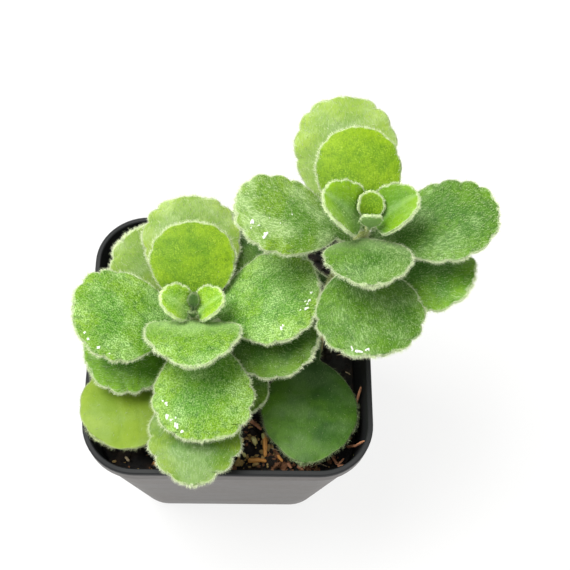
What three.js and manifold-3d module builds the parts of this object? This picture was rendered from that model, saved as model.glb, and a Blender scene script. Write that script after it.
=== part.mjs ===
// A fleshy, velvet leaved plant with scalloped leaves on two shoots, in a square nursery pot.
// Millimetres, +Z up. The origin is the middle of the pot's underside, on the table, and the
// front of the plant looks along -Y.

import * as THREE from 'three';
import { mergeVertices } from 'three/addons/utils/BufferGeometryUtils.js';
import Module from 'manifold-3d';

const wasm = await Module();
wasm.setup();

// Pot sizes.
const POT_HEIGHT = 56;
const RIM_SIDE = 70;
const RIM_CORNER = 13.2;
const BASE_SIDE = 51.3;
const BASE_CORNER = 9;
const WALL = 1;
const BAND_HEIGHT = 4.8;
const BAND_STEP = 0.8;
const LIP_WIDTH = 1.3;
const LIP_BEVEL = 0.5;
const LIP_BEVEL_INSET = 0.3;
const BAND_DRAFT = 0.2;
const FLOOR = 1.4;
const DRAIN_HOLE_RADIUS = 3;
const DRAIN_HOLE_REACH = 15;
const DRILL_SIDES = 10;
const CORNER_STEPS = 5;

// Soil sizes.
const SOIL_LEVEL = 44.6;
const SOIL_RELIEF = 0.9;
const SOIL_RINGS = 5;
const SOIL_EDGE_DIP = 0.6;
const MOUND_PITCH = { across: 0.21, along: 0.17, fine: 0.43, slant: 0.37 };
const MOUND_SHIFT = { across: 0.6, along: 0.4 };
const HOLE_CLEARANCE = 0.5;
const TOUCH_GAP = 0.3;
const CROWN_SPREAD = 0.55;
const CRUMB_COUNT = 34;
const CRUMB_REACH = 27;
const CRUMB_SIZE = [1.1, 2.4];
const HOLE_SIDES = 12;

// Stem sizes.
const STEM_SIDES = 8;
const STEM_STEP = 2.4;
const STEM_DEPTH = 34;
const NODE_SWELLING = 0.1;
const TIP_TAPER_LENGTH = 6;
const TIP_TAPER = 0.55;
const FOOT_ROUNDING = [[0.3, 0.8], [3, 1]];
const TIP_ROUNDING = [[0.35, 0.75], [0.6, 0.35]];

// Leaf sizes that all leaves share.
const LEAF_ROWS = 19;
const LEAF_COLUMNS = 4;
const PETIOLE_ROWS = 2;
const MARGIN_THICKNESS = 0.7;
const OUTLINE_END = 0.965;
const LOBE_START = 0.3;
const LOBE_RAMP = 0.25;
const LOBE_POWER = 0.8;
const LOBE_BIAS = 0.55;
const ROLL_REACH = 0.35;

const DEGREE = Math.PI / 180;

const COLOURS = {
  pot: '#1b1b1b',
  soil: '#2a2019',
  stem: '#7c8a48',
  youngLeaf: '#a3d01f',
  greenLeaf: '#6fa63a',
  darkLeaf: '#3f7a25',
  paleLeaf: '#b9d68c',
};

// The two shoots. Each path runs from below the soil up to the growing tip.
const STEMS = {
  left: {
    radius: [1.6, 1.05],
    path: [[-7.6, 0.6, 43.5], [-7.2, 1.0, 56], [-7.8, -0.5, 68], [-8.4, -2.6, 75]],
  },
  right: {
    radius: [1.7, 1.05],
    path: [[22.3, 3.6, 43.5], [23.3, 8.5, 56], [26.0, 12.0, 70], [29.4, 11.6, 86], [30.9, 9.9, 96.2]],
  },
};

// How a leaf is shaped at each age: the share of its length that is petiole and the petiole's half
// width, how the outline swells from the petiole and closes at the tip, how many scallops each side
// has and how deep they are.
const HABITS = {
  bud: { petiole: 0.06, stalk: 0.5, baseTaper: 0.5, tipTaper: 0.5, lobes: 3.5, lobeDepth: 0.2 },
  young: { petiole: 0.06, stalk: 0.9, baseTaper: 0.42, tipTaper: 0.5, lobes: 5.5, lobeDepth: 0.4 },
  arched: { petiole: 0.1, stalk: 1.4, baseTaper: 0.36, tipTaper: 0.62, lobes: 6.5, lobeDepth: 0.5 },
  draped: { petiole: 0.1, stalk: 1.4, baseTaper: 0.45, tipTaper: 0.62, lobes: 6.5, lobeDepth: 0.5 },
  round: { petiole: 0.1, stalk: 1.4, baseTaper: 0.5, tipTaper: 0.45, lobes: 6.5, lobeDepth: 0.45 },
  mature: { petiole: 0.13, stalk: 1.7, baseTaper: 0.66, tipTaper: 0.45, lobes: 7.5, lobeDepth: 0.75 },
  pointed: { petiole: 0.3, stalk: 1.4, baseTaper: 0.8, tipTaper: 0.65, lobes: 7.5, lobeDepth: 0.9 },
  tapering: { petiole: 0.18, stalk: 1.1, baseTaper: 0.72, tipTaper: 0.7, lobes: 6.5, lobeDepth: 0.35 },
  shaded: { petiole: 0.18, stalk: 1.1, baseTaper: 0.75, tipTaper: 0.5, lobes: 6.5, lobeDepth: 0.35 },
};

// How far the blade is cupped up at its sides, in degrees, and its thickness along the midrib.
const CUPPING = {
  bud: 25,
  young: 30,
  arched: 8,
  draped: -12,
  round: -8,
  mature: -14,
  pointed: -12,
  tapering: -10,
  shaded: -10,
};
const THICKNESS = {
  bud: 0.9,
  young: 1.1,
  arched: 1.5,
  draped: 1.5,
  round: 1.4,
  mature: 1.6,
  pointed: 1.6,
  tapering: 1.5,
  shaded: 1.5,
};

// Every leaf as it grows: the height of its node on the stem, its heading (0 is right, 90 is
// back), its length and width, its pitch at the stem and at the tip, and its roll.
const LEAVES = [
  ['left_shoot_leaf_0_back', 'left', 'bud', 'youngLeaf', 77.2, 88, 3.6, 2.8, 62, 40, 0],
  ['left_shoot_leaf_0_front', 'left', 'bud', 'youngLeaf', 77.2, -92, 2.6, 2.3, 82, 70, 0],
  ['left_shoot_leaf_1_left', 'left', 'young', 'youngLeaf', 75.6, 165, 9.1, 8.7, 66, 20, 0],
  ['left_shoot_leaf_1_right', 'left', 'young', 'youngLeaf', 75.6, 15, 8.7, 8.4, 66, 20, 0],
  ['left_shoot_leaf_2_back', 'left', 'round', 'youngLeaf', 72, 94, 21, 20, 40, 13, 0],
  ['left_shoot_leaf_2_front', 'left', 'arched', 'greenLeaf', 72.9, -90, 17.2, 22, 61, -5, 0],
  ['left_shoot_leaf_3_left', 'left', 'mature', 'greenLeaf', 68.5, 187, 28, 24, 35, 7, 3],
  ['left_shoot_leaf_3_right', 'left', 'mature', 'greenLeaf', 68.5, 7, 29.3, 24, 42, 7, -3],
  ['left_shoot_leaf_4_back', 'left', 'mature', 'greenLeaf', 65, 96, 29, 23.5, 40, 12, 3],
  ['left_shoot_leaf_4_front', 'left', 'mature', 'greenLeaf', 65, -85, 29.5, 23, 28, -18, 0],
  ['left_shoot_leaf_5_left', 'left', 'mature', 'greenLeaf', 60, 204, 27.3, 22, 28, -10, 4],
  ['left_shoot_leaf_5_right', 'left', 'mature', 'darkLeaf', 60.4, -16, 29.5, 22.3, 40, 5, 0],
  ['left_shoot_leaf_6_back', 'left', 'mature', 'paleLeaf', 56, 132, 29, 21, 45, 20, 0],
  ['left_shoot_leaf_6_front', 'left', 'pointed', 'greenLeaf', 55.5, -91, 39.5, 21.5, 28, -8, 0],
  ['left_shoot_leaf_7_left', 'left', 'shaded', 'youngLeaf', 52, 229, 35.7, 22.5, 28, -8, 0],
  ['left_shoot_leaf_7_right', 'left', 'shaded', 'darkLeaf', 50.5, -54, 21.5, 15, 20, -4, 0],
  ['right_shoot_leaf_0_back', 'right', 'bud', 'youngLeaf', 97.4, 88, 6.4, 6.1, 60, 30, 0],
  ['right_shoot_leaf_0_front', 'right', 'bud', 'youngLeaf', 97.6, -92, 5, 4.9, 82, 92, 0],
  ['right_shoot_leaf_1_left', 'right', 'young', 'greenLeaf', 95.1, 163, 13.4, 12.4, 64, 22, 0],
  ['right_shoot_leaf_1_right', 'right', 'young', 'youngLeaf', 95.1, 18, 12.9, 11.2, 64, 22, 0],
  ['right_shoot_leaf_2_back', 'right', 'round', 'youngLeaf', 90.5, 95, 22.8, 19.5, 40, 13, 0],
  ['right_shoot_leaf_2_front', 'right', 'draped', 'greenLeaf', 91.3, -89, 17.8, 19.6, 58, -8, 0],
  ['right_shoot_leaf_3_left', 'right', 'mature', 'greenLeaf', 86.5, 172, 28.5, 20.5, 38, 1, 3],
  ['right_shoot_leaf_3_right', 'right', 'mature', 'darkLeaf', 86.5, 4, 30.6, 21, 36, 6, -3],
  ['right_shoot_leaf_4_back', 'right', 'mature', 'greenLeaf', 81.5, 95, 34, 24, 42, 15, 0],
  ['right_shoot_leaf_4_front', 'right', 'mature', 'greenLeaf', 81, -80, 28, 24.5, 35, -20, 0],
  ['right_shoot_leaf_5_left', 'right', 'shaded', 'darkLeaf', 65, 152, 30, 22, 22, -10, 0],
  ['right_shoot_leaf_5_right', 'right', 'mature', 'darkLeaf', 74, -20, 31, 21, 40, 5, -3],
  ['right_shoot_leaf_6_front', 'right', 'tapering', 'darkLeaf', 48, -97, 35.3, 24, 22, -5, 0],
].map(([name, stem, habit, colour, height, heading, length, width, rise, droop, roll]) => ({
  ...{ name, stem, colour, height, heading, length, width, rise, droop, roll },
  ...HABITS[habit],
  cup: CUPPING[habit],
  thickness: THICKNESS[habit],
}));

// A small repeatable source of draws between 0 and 1.
function seededDraws(seed) {
  let state = seed;
  return () => {
    state = (state * 1664525 + 1013904223) % 4294967296;
    return state / 4294967296;
  };
}

function smoothStep(value) {
  const t = Math.min(Math.max(value, 0), 1);
  return t * t * (3 - 2 * t);
}

function mix(from, to, share) {
  return from + (to - from) * share;
}

// A corner rounded square as a list of points, counter clockwise.
function roundedSquare(side, corner, steps = CORNER_STEPS) {
  const reach = side / 2 - corner;
  const points = [];
  for (let quarter = 0; quarter < 4; quarter += 1) {
    const centreAngle = (45 + 90 * quarter) * DEGREE;
    const centreX = Math.sign(Math.cos(centreAngle)) * reach;
    const centreY = Math.sign(Math.sin(centreAngle)) * reach;
    for (let step = 0; step <= steps; step += 1) {
      const angle = (90 * quarter + (90 * step) / steps) * DEGREE;
      points.push([centreX + corner * Math.cos(angle), centreY + corner * Math.sin(angle)]);
    }
  }
  return points;
}

function geometryFrom(points, faces) {
  const geometry = new THREE.BufferGeometry();
  geometry.setAttribute('position', new THREE.Float32BufferAttribute(points.flat(), 3));
  geometry.setIndex(faces.flat());
  return geometry;
}

// A closed skin through rings of equal point count. Each ring runs counter clockwise seen from
// the side that the rings climb towards, and the two ends are closed by a fan.
function skinRings(rings) {
  const count = rings[0].length;
  const points = rings.flat();
  const faces = [];
  for (let ring = 0; ring + 1 < rings.length; ring += 1) {
    for (let k = 0; k < count; k += 1) {
      const a = ring * count + k;
      const b = ring * count + ((k + 1) % count);
      faces.push([a, b, b + count], [a, b + count, a + count]);
    }
  }
  const centre = (ring) => [0, 1, 2].map((axis) => ring.reduce((sum, p) => sum + p[axis], 0) / count);
  const first = points.length;
  points.push(centre(rings[0]), centre(rings[rings.length - 1]));
  const last = (rings.length - 1) * count;
  for (let k = 0; k < count; k += 1) {
    const next = (k + 1) % count;
    faces.push([first, next, k], [first + 1, last + k, last + next]);
  }
  return geometryFrom(points, faces);
}

function squareRing(side, corner, z) {
  return roundedSquare(side, corner).map(([x, y]) => [x, y, z]);
}

function toSolid(geometry) {
  const bare = geometry.clone();
  bare.deleteAttribute('normal');
  bare.deleteAttribute('uv');
  const merged = mergeVertices(bare, 1e-4);
  const vertProperties = new Float32Array(merged.attributes.position.array);
  const triVerts = new Uint32Array(merged.index.array);
  return new wasm.Manifold(new wasm.Mesh({ numProp: 3, vertProperties, triVerts }));
}

function fromSolid(solid) {
  const mesh = solid.getMesh();
  const geometry = new THREE.BufferGeometry();
  geometry.setAttribute('position', new THREE.Float32BufferAttribute(mesh.vertProperties, 3));
  geometry.setIndex([...mesh.triVerts]);
  return geometry;
}

// The outer side and corner radius of the tapering wall at a height.
function wallAt(z) {
  const share = z / (POT_HEIGHT - BAND_HEIGHT);
  return {
    side: mix(BASE_SIDE, RIM_SIDE - 2 * BAND_STEP, share),
    corner: mix(BASE_CORNER, RIM_CORNER - BAND_STEP, share),
  };
}

function potGeometry() {
  const bandFoot = POT_HEIGHT - BAND_HEIGHT;
  const under = wallAt(bandFoot);
  const innerLip = RIM_SIDE - 2 * LIP_WIDTH;
  const innerFloor = wallAt(FLOOR);
  const innerFoot = wallAt(bandFoot - WALL);
  const shell = skinRings([
    squareRing(BASE_SIDE, BASE_CORNER, 0),
    squareRing(under.side, under.corner, bandFoot),
    squareRing(RIM_SIDE - 2 * BAND_DRAFT, RIM_CORNER, bandFoot),
    squareRing(RIM_SIDE, RIM_CORNER, POT_HEIGHT - LIP_BEVEL),
    squareRing(RIM_SIDE - 2 * LIP_BEVEL_INSET, RIM_CORNER - LIP_BEVEL_INSET, POT_HEIGHT),
    squareRing(innerLip, RIM_CORNER - LIP_WIDTH, POT_HEIGHT),
    squareRing(innerFoot.side - 2 * WALL, innerFoot.corner - WALL, bandFoot - WALL),
    squareRing(innerFloor.side - 2 * WALL, innerFloor.corner - WALL, FLOOR),
  ]);
  let pot = toSolid(shell);
  for (const [x, y] of [[1, 1], [-1, 1], [-1, -1], [1, -1]]) {
    const depth = 4 * FLOOR;
    const drill = new THREE.CylinderGeometry(DRAIN_HOLE_RADIUS, DRAIN_HOLE_RADIUS, depth, DRILL_SIDES);
    drill.rotateX(Math.PI / 2);
    drill.translate(x * DRAIN_HOLE_REACH, y * DRAIN_HOLE_REACH, FLOOR / 2);
    pot = pot.subtract(toSolid(drill));
  }
  return fromSolid(pot);
}

// The height of the soil's surface, in soft mounds that fall off towards the wall.
function soilHeight(x, y) {
  const broad = Math.sin(MOUND_PITCH.across * x + MOUND_SHIFT.across)
    * Math.cos(MOUND_PITCH.along * y - MOUND_SHIFT.along);
  const fine = Math.sin(MOUND_PITCH.fine * x - MOUND_PITCH.slant * y);
  return SOIL_LEVEL + SOIL_RELIEF * (broad + fine / 2);
}

function soilSide(z) {
  const wall = wallAt(z);
  return { side: wall.side - 2 * (WALL + TOUCH_GAP), corner: wall.corner - WALL - TOUCH_GAP };
}

function soilGeometry() {
  const floor = FLOOR + TOUCH_GAP;
  const edge = SOIL_LEVEL - SOIL_EDGE_DIP;
  const foot = soilSide(floor);
  const top = soilSide(edge);
  const rings = [squareRing(foot.side, foot.corner, floor)];
  for (let ring = 0; ring < SOIL_RINGS; ring += 1) {
    const share = 1 - ring / SOIL_RINGS;
    const outline = roundedSquare(top.side * share, top.corner * share);
    rings.push(outline.map(([x, y]) => [x, y, ring === 0 ? edge : soilHeight(x, y)]));
  }
  let soil = toSolid(skinRings(rings));

  // Crumbs of bark and grit, each sunk well into the surface.
  const draw = seededDraws(71);
  for (let crumb = 0; crumb < CRUMB_COUNT; crumb += 1) {
    const x = mix(-CRUMB_REACH, CRUMB_REACH, draw());
    const y = mix(-CRUMB_REACH, CRUMB_REACH, draw());
    const size = mix(...CRUMB_SIZE, draw());
    const lump = new THREE.IcosahedronGeometry(size, 0);
    lump.scale(1, mix(0.6, 1, draw()), mix(0.45, 0.75, draw()));
    lump.rotateZ(draw() * Math.PI);
    lump.translate(x, y, soilHeight(x, y));
    soil = soil.add(toSolid(lump));
  }
  for (const stick of looseSticks()) {
    soil = soil.add(toSolid(stick));
  }
  for (const stem of Object.values(STEMS)) {
    const hole = new THREE.CylinderGeometry(1, 1, SOIL_LEVEL, HOLE_SIDES);
    const radius = stem.radius[0] + HOLE_CLEARANCE;
    hole.scale(radius, 1, radius);
    hole.rotateX(Math.PI / 2);
    const foot = stem.path[0];
    hole.translate(foot[0], foot[1], STEM_DEPTH + SOIL_LEVEL / 2);
    soil = soil.subtract(toSolid(hole));
  }
  return fromSolid(soil);
}

// A twig or splinter from one point to another, thicker at its start.
function stick(from, to, thickness, sides = 5) {
  const start = new THREE.Vector3(...from);
  const end = new THREE.Vector3(...to);
  const length = start.distanceTo(end);
  const rod = new THREE.CylinderGeometry(thickness * 0.35, thickness * 0.5, length, sides);
  rod.applyQuaternion(new THREE.Quaternion().setFromUnitVectors(
    new THREE.Vector3(0, 1, 0),
    end.clone().sub(start).normalize(),
  ));
  rod.translate(...start.clone().add(end).multiplyScalar(0.5).toArray());
  return rod;
}

function looseSticks() {
  return [
    stick([30.7, -14.5, SOIL_LEVEL - 1.5], [32.1, -11, SOIL_LEVEL + 7], 1.1),
    stick([25.5, -23.6, SOIL_LEVEL - 0.4], [30.2, -24.8, SOIL_LEVEL + 1.4], 1.1),
    stick([23, -27.4, SOIL_LEVEL - 0.6], [27, -24.2, SOIL_LEVEL + 0.8], 0.9),
    stick([9, -27.6, SOIL_LEVEL], [9.3, -23.2, SOIL_LEVEL + 0.9], 1.7),
    stick([4.8, -28.8, SOIL_LEVEL], [9.6, -28.2, SOIL_LEVEL + 0.7], 1.7),
  ];
}

function stemCurve(stem) {
  return new THREE.CatmullRomCurve3(stem.path.map((point) => new THREE.Vector3(...point)));
}

// The place, radius and share of the way along a stem at a height.
function stemAt(stem, height) {
  const curve = stemCurve(stem);
  let low = 0;
  let high = 1;
  for (let step = 0; step < 40; step += 1) {
    const middle = (low + high) / 2;
    if (curve.getPoint(middle).z < height) {
      low = middle;
    } else {
      high = middle;
    }
  }
  return { point: curve.getPoint(low), radius: stemRadius(stem, low, height) };
}

// A stem thins a little on its way up, and quickly over its last few millimetres.
function stemRadius(stem, share, height) {
  const top = stem.path[stem.path.length - 1][2];
  const nearTip = smoothStep(1 - (top - height) / TIP_TAPER_LENGTH);
  return mix(...stem.radius, share) * mix(1, TIP_TAPER, nearTip);
}

// A round shoot that swells a little at each pair of leaves and ends in a blunt bud.
function stemGeometry(name) {
  const stem = STEMS[name];
  const curve = stemCurve(stem);
  const nodes = LEAVES.filter((leaf) => leaf.stem === name).map((leaf) => leaf.height);
  const foot = curve.getPoint(0);
  const sections = [];
  for (const [rise, share] of FOOT_ROUNDING) {
    const centre = new THREE.Vector3(foot.x, foot.y, STEM_DEPTH + rise);
    sections.push({ centre, radius: stem.radius[0] * share });
  }
  const steps = Math.round(curve.getLength() / STEM_STEP);
  for (let step = 0; step <= steps; step += 1) {
    const share = step / steps;
    const centre = curve.getPoint(share);
    const nearest = Math.min(...nodes.map((height) => Math.abs(height - centre.z)));
    const swelling = NODE_SWELLING * (1 - smoothStep(nearest / STEM_STEP));
    sections.push({ centre, radius: stemRadius(stem, share, centre.z) * (1 + swelling) });
  }
  const tip = sections[sections.length - 1];
  const up = curve.getTangent(1);
  for (const [rise, share] of TIP_ROUNDING) {
    sections.push({ centre: tip.centre.clone().addScaledVector(up, rise), radius: tip.radius * share });
  }
  return skinRings(sections.map(({ centre, radius }) => {
    const ring = [];
    for (let k = 0; k < STEM_SIDES; k += 1) {
      const angle = (2 * Math.PI * k) / STEM_SIDES;
      ring.push([centre.x + radius * Math.cos(angle), centre.y + radius * Math.sin(angle), centre.z]);
    }
    return ring;
  }));
}

// The flat pattern of a leaf: for each row its place along the leaf, its half width, and how far
// the scallops push the margin out.
function leafPattern(leaf) {
  const petiole = leaf.petiole * leaf.length;
  const peakAt = leaf.baseTaper / (leaf.baseTaper + leaf.tipTaper);
  const peak = peakAt ** leaf.baseTaper * (1 - peakAt) ** leaf.tipTaper;
  const rows = [];
  for (let row = 0; row < PETIOLE_ROWS; row += 1) {
    rows.push({ along: (petiole * row) / PETIOLE_ROWS, half: leaf.stalk, turn: 0, share: 0 });
  }
  for (let row = 0; row <= LEAF_ROWS; row += 1) {
    const turn = (Math.PI * OUTLINE_END * row) / LEAF_ROWS;
    const share = (1 - Math.cos(turn)) / 2;
    const swell = (share ** leaf.baseTaper * (1 - share) ** leaf.tipTaper) / peak;
    const stalk = leaf.stalk * Math.sqrt(1 - share);
    const half = Math.cbrt(stalk ** 3 + ((leaf.width / 2) * swell) ** 3);
    rows.push({ along: petiole + (leaf.length - petiole) * share, half, turn, share });
  }
  rows.forEach((row, k) => {
    const before = rows[Math.max(k - 1, 0)];
    const after = rows[Math.min(k + 1, rows.length - 1)];
    const stepAlong = after.along - before.along;
    const stepHalf = after.half - before.half;
    const length = Math.hypot(stepAlong, stepHalf);
    const ramp = smoothStep((row.share - LOBE_START) / LOBE_RAMP);
    const wave = Math.abs(Math.cos(leaf.lobes * (Math.PI - row.turn))) ** LOBE_POWER - LOBE_BIAS;
    row.pushAlong = (-stepHalf / length) * leaf.lobeDepth * ramp * wave;
    row.pushOut = (stepAlong / length) * leaf.lobeDepth * ramp * wave;
  });
  return rows;
}

// The way a leaf points, its side and its upper face at a share of its length.
function leafFrame(leaf, share) {
  const reach = Math.min(Math.max(share, 0), 1);
  const pitch = mix(leaf.rise, leaf.droop, reach) * DEGREE;
  const heading = leaf.heading * DEGREE;
  const roll = leaf.roll * DEGREE * smoothStep(reach / ROLL_REACH);
  const along = new THREE.Vector3(
    Math.cos(pitch) * Math.cos(heading),
    Math.cos(pitch) * Math.sin(heading),
    Math.sin(pitch),
  );
  const level = new THREE.Vector3(-Math.sin(heading), Math.cos(heading), 0);
  const raised = along.clone().cross(level);
  const side = level.multiplyScalar(Math.cos(roll)).addScaledVector(raised, Math.sin(roll));
  return { along, side, upper: along.clone().cross(side) };
}

// Where a leaf leaves its stem, a touch clear of the stem's skin. The youngest pair stands on the
// growing tip itself, face to face.
function leafFoot(leaf) {
  const stem = STEMS[leaf.stem];
  const { point, radius } = stemAt(stem, leaf.height);
  const heading = leaf.heading * DEGREE;
  const outward = new THREE.Vector3(Math.cos(heading), Math.sin(heading), 0);
  const halfSlab = (leaf.thickness / 2) * Math.sin(leaf.rise * DEGREE);
  if (leaf.height > stem.path[stem.path.length - 1][2]) {
    point.z = leaf.height;
    return point.addScaledVector(outward, CROWN_SPREAD + halfSlab);
  }
  return point.addScaledVector(outward, radius * (1 + NODE_SWELLING) + TOUCH_GAP + halfSlab);
}

// A fleshy blade: the pattern bent along its midrib and cupped across it, thick in the middle
// and thin at the margin. Both faces are split into triangles alike.
function leafGeometry(leaf) {
  const rows = leafPattern(leaf);
  const cup = leaf.cup * DEGREE;
  const midrib = leafFoot(leaf);
  const sheet = [];
  let before = 0;
  for (const row of rows) {
    const middle = leafFrame(leaf, (row.along + before) / 2 / leaf.length);
    midrib.addScaledVector(middle.along, row.along - before);
    before = row.along;
    const { along, side, upper } = leafFrame(leaf, row.along / leaf.length);
    const points = [];
    for (let column = 0; column <= LEAF_COLUMNS; column += 1) {
      const across = (2 * column) / LEAF_COLUMNS - 1;
      const edge = across * across;
      const reach = across * row.half + Math.sign(across) * edge * row.pushOut;
      const bend = (cup * reach) / (leaf.width / 2);
      const flat = Math.abs(bend) > 1e-6 ? Math.sin(bend) / bend : 1;
      const lift = Math.abs(bend) > 1e-6 ? (1 - Math.cos(bend)) / bend : 0;
      points.push(midrib.clone()
        .addScaledVector(along, edge * row.pushAlong)
        .addScaledVector(side, flat * reach)
        .addScaledVector(upper, lift * reach));
    }
    sheet.push(points);
  }
  return thicken(sheet, leaf.thickness);
}

// Turns a sheet of points into a closed blade by moving each point both ways along its normal.
function thicken(sheet, thickness) {
  const rows = sheet.length;
  const columns = sheet[0].length;
  const top = [];
  const under = [];
  sheet.forEach((points, row) => points.forEach((point, column) => {
    const next = sheet[Math.min(row + 1, rows - 1)][column];
    const down = next.clone().sub(sheet[Math.max(row - 1, 0)][column]);
    const across = points[Math.min(column + 1, columns - 1)].clone().sub(points[Math.max(column - 1, 0)]);
    const normal = down.cross(across).normalize();
    const share = (2 * column) / (columns - 1) - 1;
    const half = mix(thickness, MARGIN_THICKNESS, share * share) / 2;
    top.push(point.clone().addScaledVector(normal, half).toArray());
    under.push(point.clone().addScaledVector(normal, -half).toArray());
  }));
  const faces = [];
  const offset = rows * columns;
  for (let row = 0; row + 1 < rows; row += 1) {
    for (let column = 0; column + 1 < columns; column += 1) {
      const a = row * columns + column;
      const b = a + columns;
      faces.push([a, b, a + 1], [a + 1, b, b + 1]);
      faces.push([offset + a, offset + a + 1, offset + b], [offset + a + 1, offset + b + 1, offset + b]);
    }
  }
  const loop = [];
  for (let row = 0; row < rows; row += 1) {
    loop.push(row * columns);
  }
  for (let column = 1; column < columns; column += 1) {
    loop.push((rows - 1) * columns + column);
  }
  for (let row = rows - 2; row >= 0; row -= 1) {
    loop.push(row * columns + columns - 1);
  }
  for (let column = columns - 2; column > 0; column -= 1) {
    loop.push(column);
  }
  loop.forEach((a, k) => {
    const b = loop[(k + 1) % loop.length];
    faces.push([a, offset + a, b], [b, offset + a, offset + b]);
  });
  return geometryFrom([...top, ...under], faces);
}

function named(name, geometry, colour, roughness) {
  geometry.computeVertexNormals();
  const material = new THREE.MeshStandardMaterial({ color: colour, roughness, metalness: 0 });
  const mesh = new THREE.Mesh(geometry, material);
  mesh.name = name;
  return mesh;
}

const plant = new THREE.Group();
plant.name = 'potted_plant';
plant.add(named('pot', potGeometry(), COLOURS.pot, 0.45));
plant.add(named('soil', soilGeometry(), COLOURS.soil, 0.95));
plant.add(named('left_stem', stemGeometry('left'), COLOURS.stem, 0.8));
plant.add(named('right_stem', stemGeometry('right'), COLOURS.stem, 0.8));
for (const leaf of LEAVES) {
  plant.add(named(leaf.name, leafGeometry(leaf), COLOURS[leaf.colour], 0.7));
}

export default plant;
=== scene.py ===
"""The looks of a small velvet leaved plant in a square nursery pot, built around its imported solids."""

import logging
import math
import random
from dataclasses import dataclass, field, replace
from enum import Enum
from typing import Callable, Iterable, Sequence

import bmesh
import bpy
import numpy as np
from mathutils import Matrix, Vector, noise


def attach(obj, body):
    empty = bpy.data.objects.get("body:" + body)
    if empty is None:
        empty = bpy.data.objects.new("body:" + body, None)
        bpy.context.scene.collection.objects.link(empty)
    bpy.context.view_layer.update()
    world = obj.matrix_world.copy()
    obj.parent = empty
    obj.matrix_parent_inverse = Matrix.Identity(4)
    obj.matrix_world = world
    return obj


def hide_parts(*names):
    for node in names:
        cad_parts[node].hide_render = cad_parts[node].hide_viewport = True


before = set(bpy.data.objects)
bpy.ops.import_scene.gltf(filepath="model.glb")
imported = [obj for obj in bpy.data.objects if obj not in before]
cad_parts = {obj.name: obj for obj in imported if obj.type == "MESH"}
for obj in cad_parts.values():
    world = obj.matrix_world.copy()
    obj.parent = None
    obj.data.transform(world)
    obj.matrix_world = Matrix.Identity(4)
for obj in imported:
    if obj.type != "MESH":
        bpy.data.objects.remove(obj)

log = logging.getLogger("potted_plant")

MM = 0.001
Colour = tuple[float, float, float]
Point = tuple[float, float, float]

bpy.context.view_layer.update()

# How many features of each pattern there are to a metre of leaf, and how many pairs of veins to a leaf.
PATCHES = 120.0
CLOUDS = 150.0
MOTTLING = 700.0
SPECKS = 3900.0
TUFTS = 1500.0
VEIN_PAIRS = 6.5

# Hairs to a square millimetre, their length in mm, and how far their lengths and widths are drawn apart.
STEM_DOWN = (9.0, 0.7)
FRINGE_DENSITY = 32.0
DOWN_LENGTH = 0.75
FRINGE_LENGTH = 0.95
HAIR_LENGTHS = (0.4, 1.2)
HAIR_WIDTHS = (0.6, 1.3)

# Heights in mm, the width of the narrowest leaf that carries residue, and its dots: how many, and how wide.
POT_HEIGHT = 56.0
SOIL_TOP = 46.0
SMALLEST_FLECKED = 14.0
DOTS = 7
DOT_RADIUS = 0.09
LUMPS = 7

# How far a crumb is stretched along each of its axes.
CRUMB_SPANS = ((0.7, 1.3), (0.5, 1.0), (0.4, 0.9))


class Wire:
    """A socket of a node tree that takes part in arithmetic."""

    def __init__(self, maker: "NodeMaker", socket: bpy.types.NodeSocket) -> None:
        """Keeps an output socket and the maker of its tree's nodes."""
        self.maker = maker
        self.socket = socket

    def _math(self, operation: str, *values: "Wire | float") -> "Wire":
        """Adds a Math node and gives its result."""
        return self.maker.make("ShaderNodeMath", {"operation": operation}, dict(enumerate(values)))

    def __add__(self, other: "Wire | float") -> "Wire":
        """Self plus other."""
        return self._math("ADD", self, other)

    def __radd__(self, other: float) -> "Wire":
        """Other plus self."""
        return self._math("ADD", other, self)

    def __sub__(self, other: "Wire | float") -> "Wire":
        """Self minus other."""
        return self._math("SUBTRACT", self, other)

    def __rsub__(self, other: float) -> "Wire":
        """Other minus self."""
        return self._math("SUBTRACT", other, self)

    def __mul__(self, other: "Wire | float") -> "Wire":
        """Self times other."""
        return self._math("MULTIPLY", self, other)

    def __rmul__(self, other: float) -> "Wire":
        """Other times self."""
        return self._math("MULTIPLY", other, self)

    def __abs__(self) -> "Wire":
        """The size of self."""
        return self._math("ABSOLUTE", self)

    def fraction(self) -> "Wire":
        """What is left of self above its whole number."""
        return self._math("FRACT", self)

    def under(self, limit: float) -> "Wire":
        """1 where self is less than a limit, else 0."""
        return self._math("LESS_THAN", self, limit)

    def step(self, low: float, high: float) -> "Wire":
        """A smooth rise from 0 at low to 1 at high."""
        settings = {"interpolation_type": "SMOOTHSTEP"}
        return self.maker.make("ShaderNodeMapRange", settings, {0: self, 1: low, 2: high})


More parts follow.
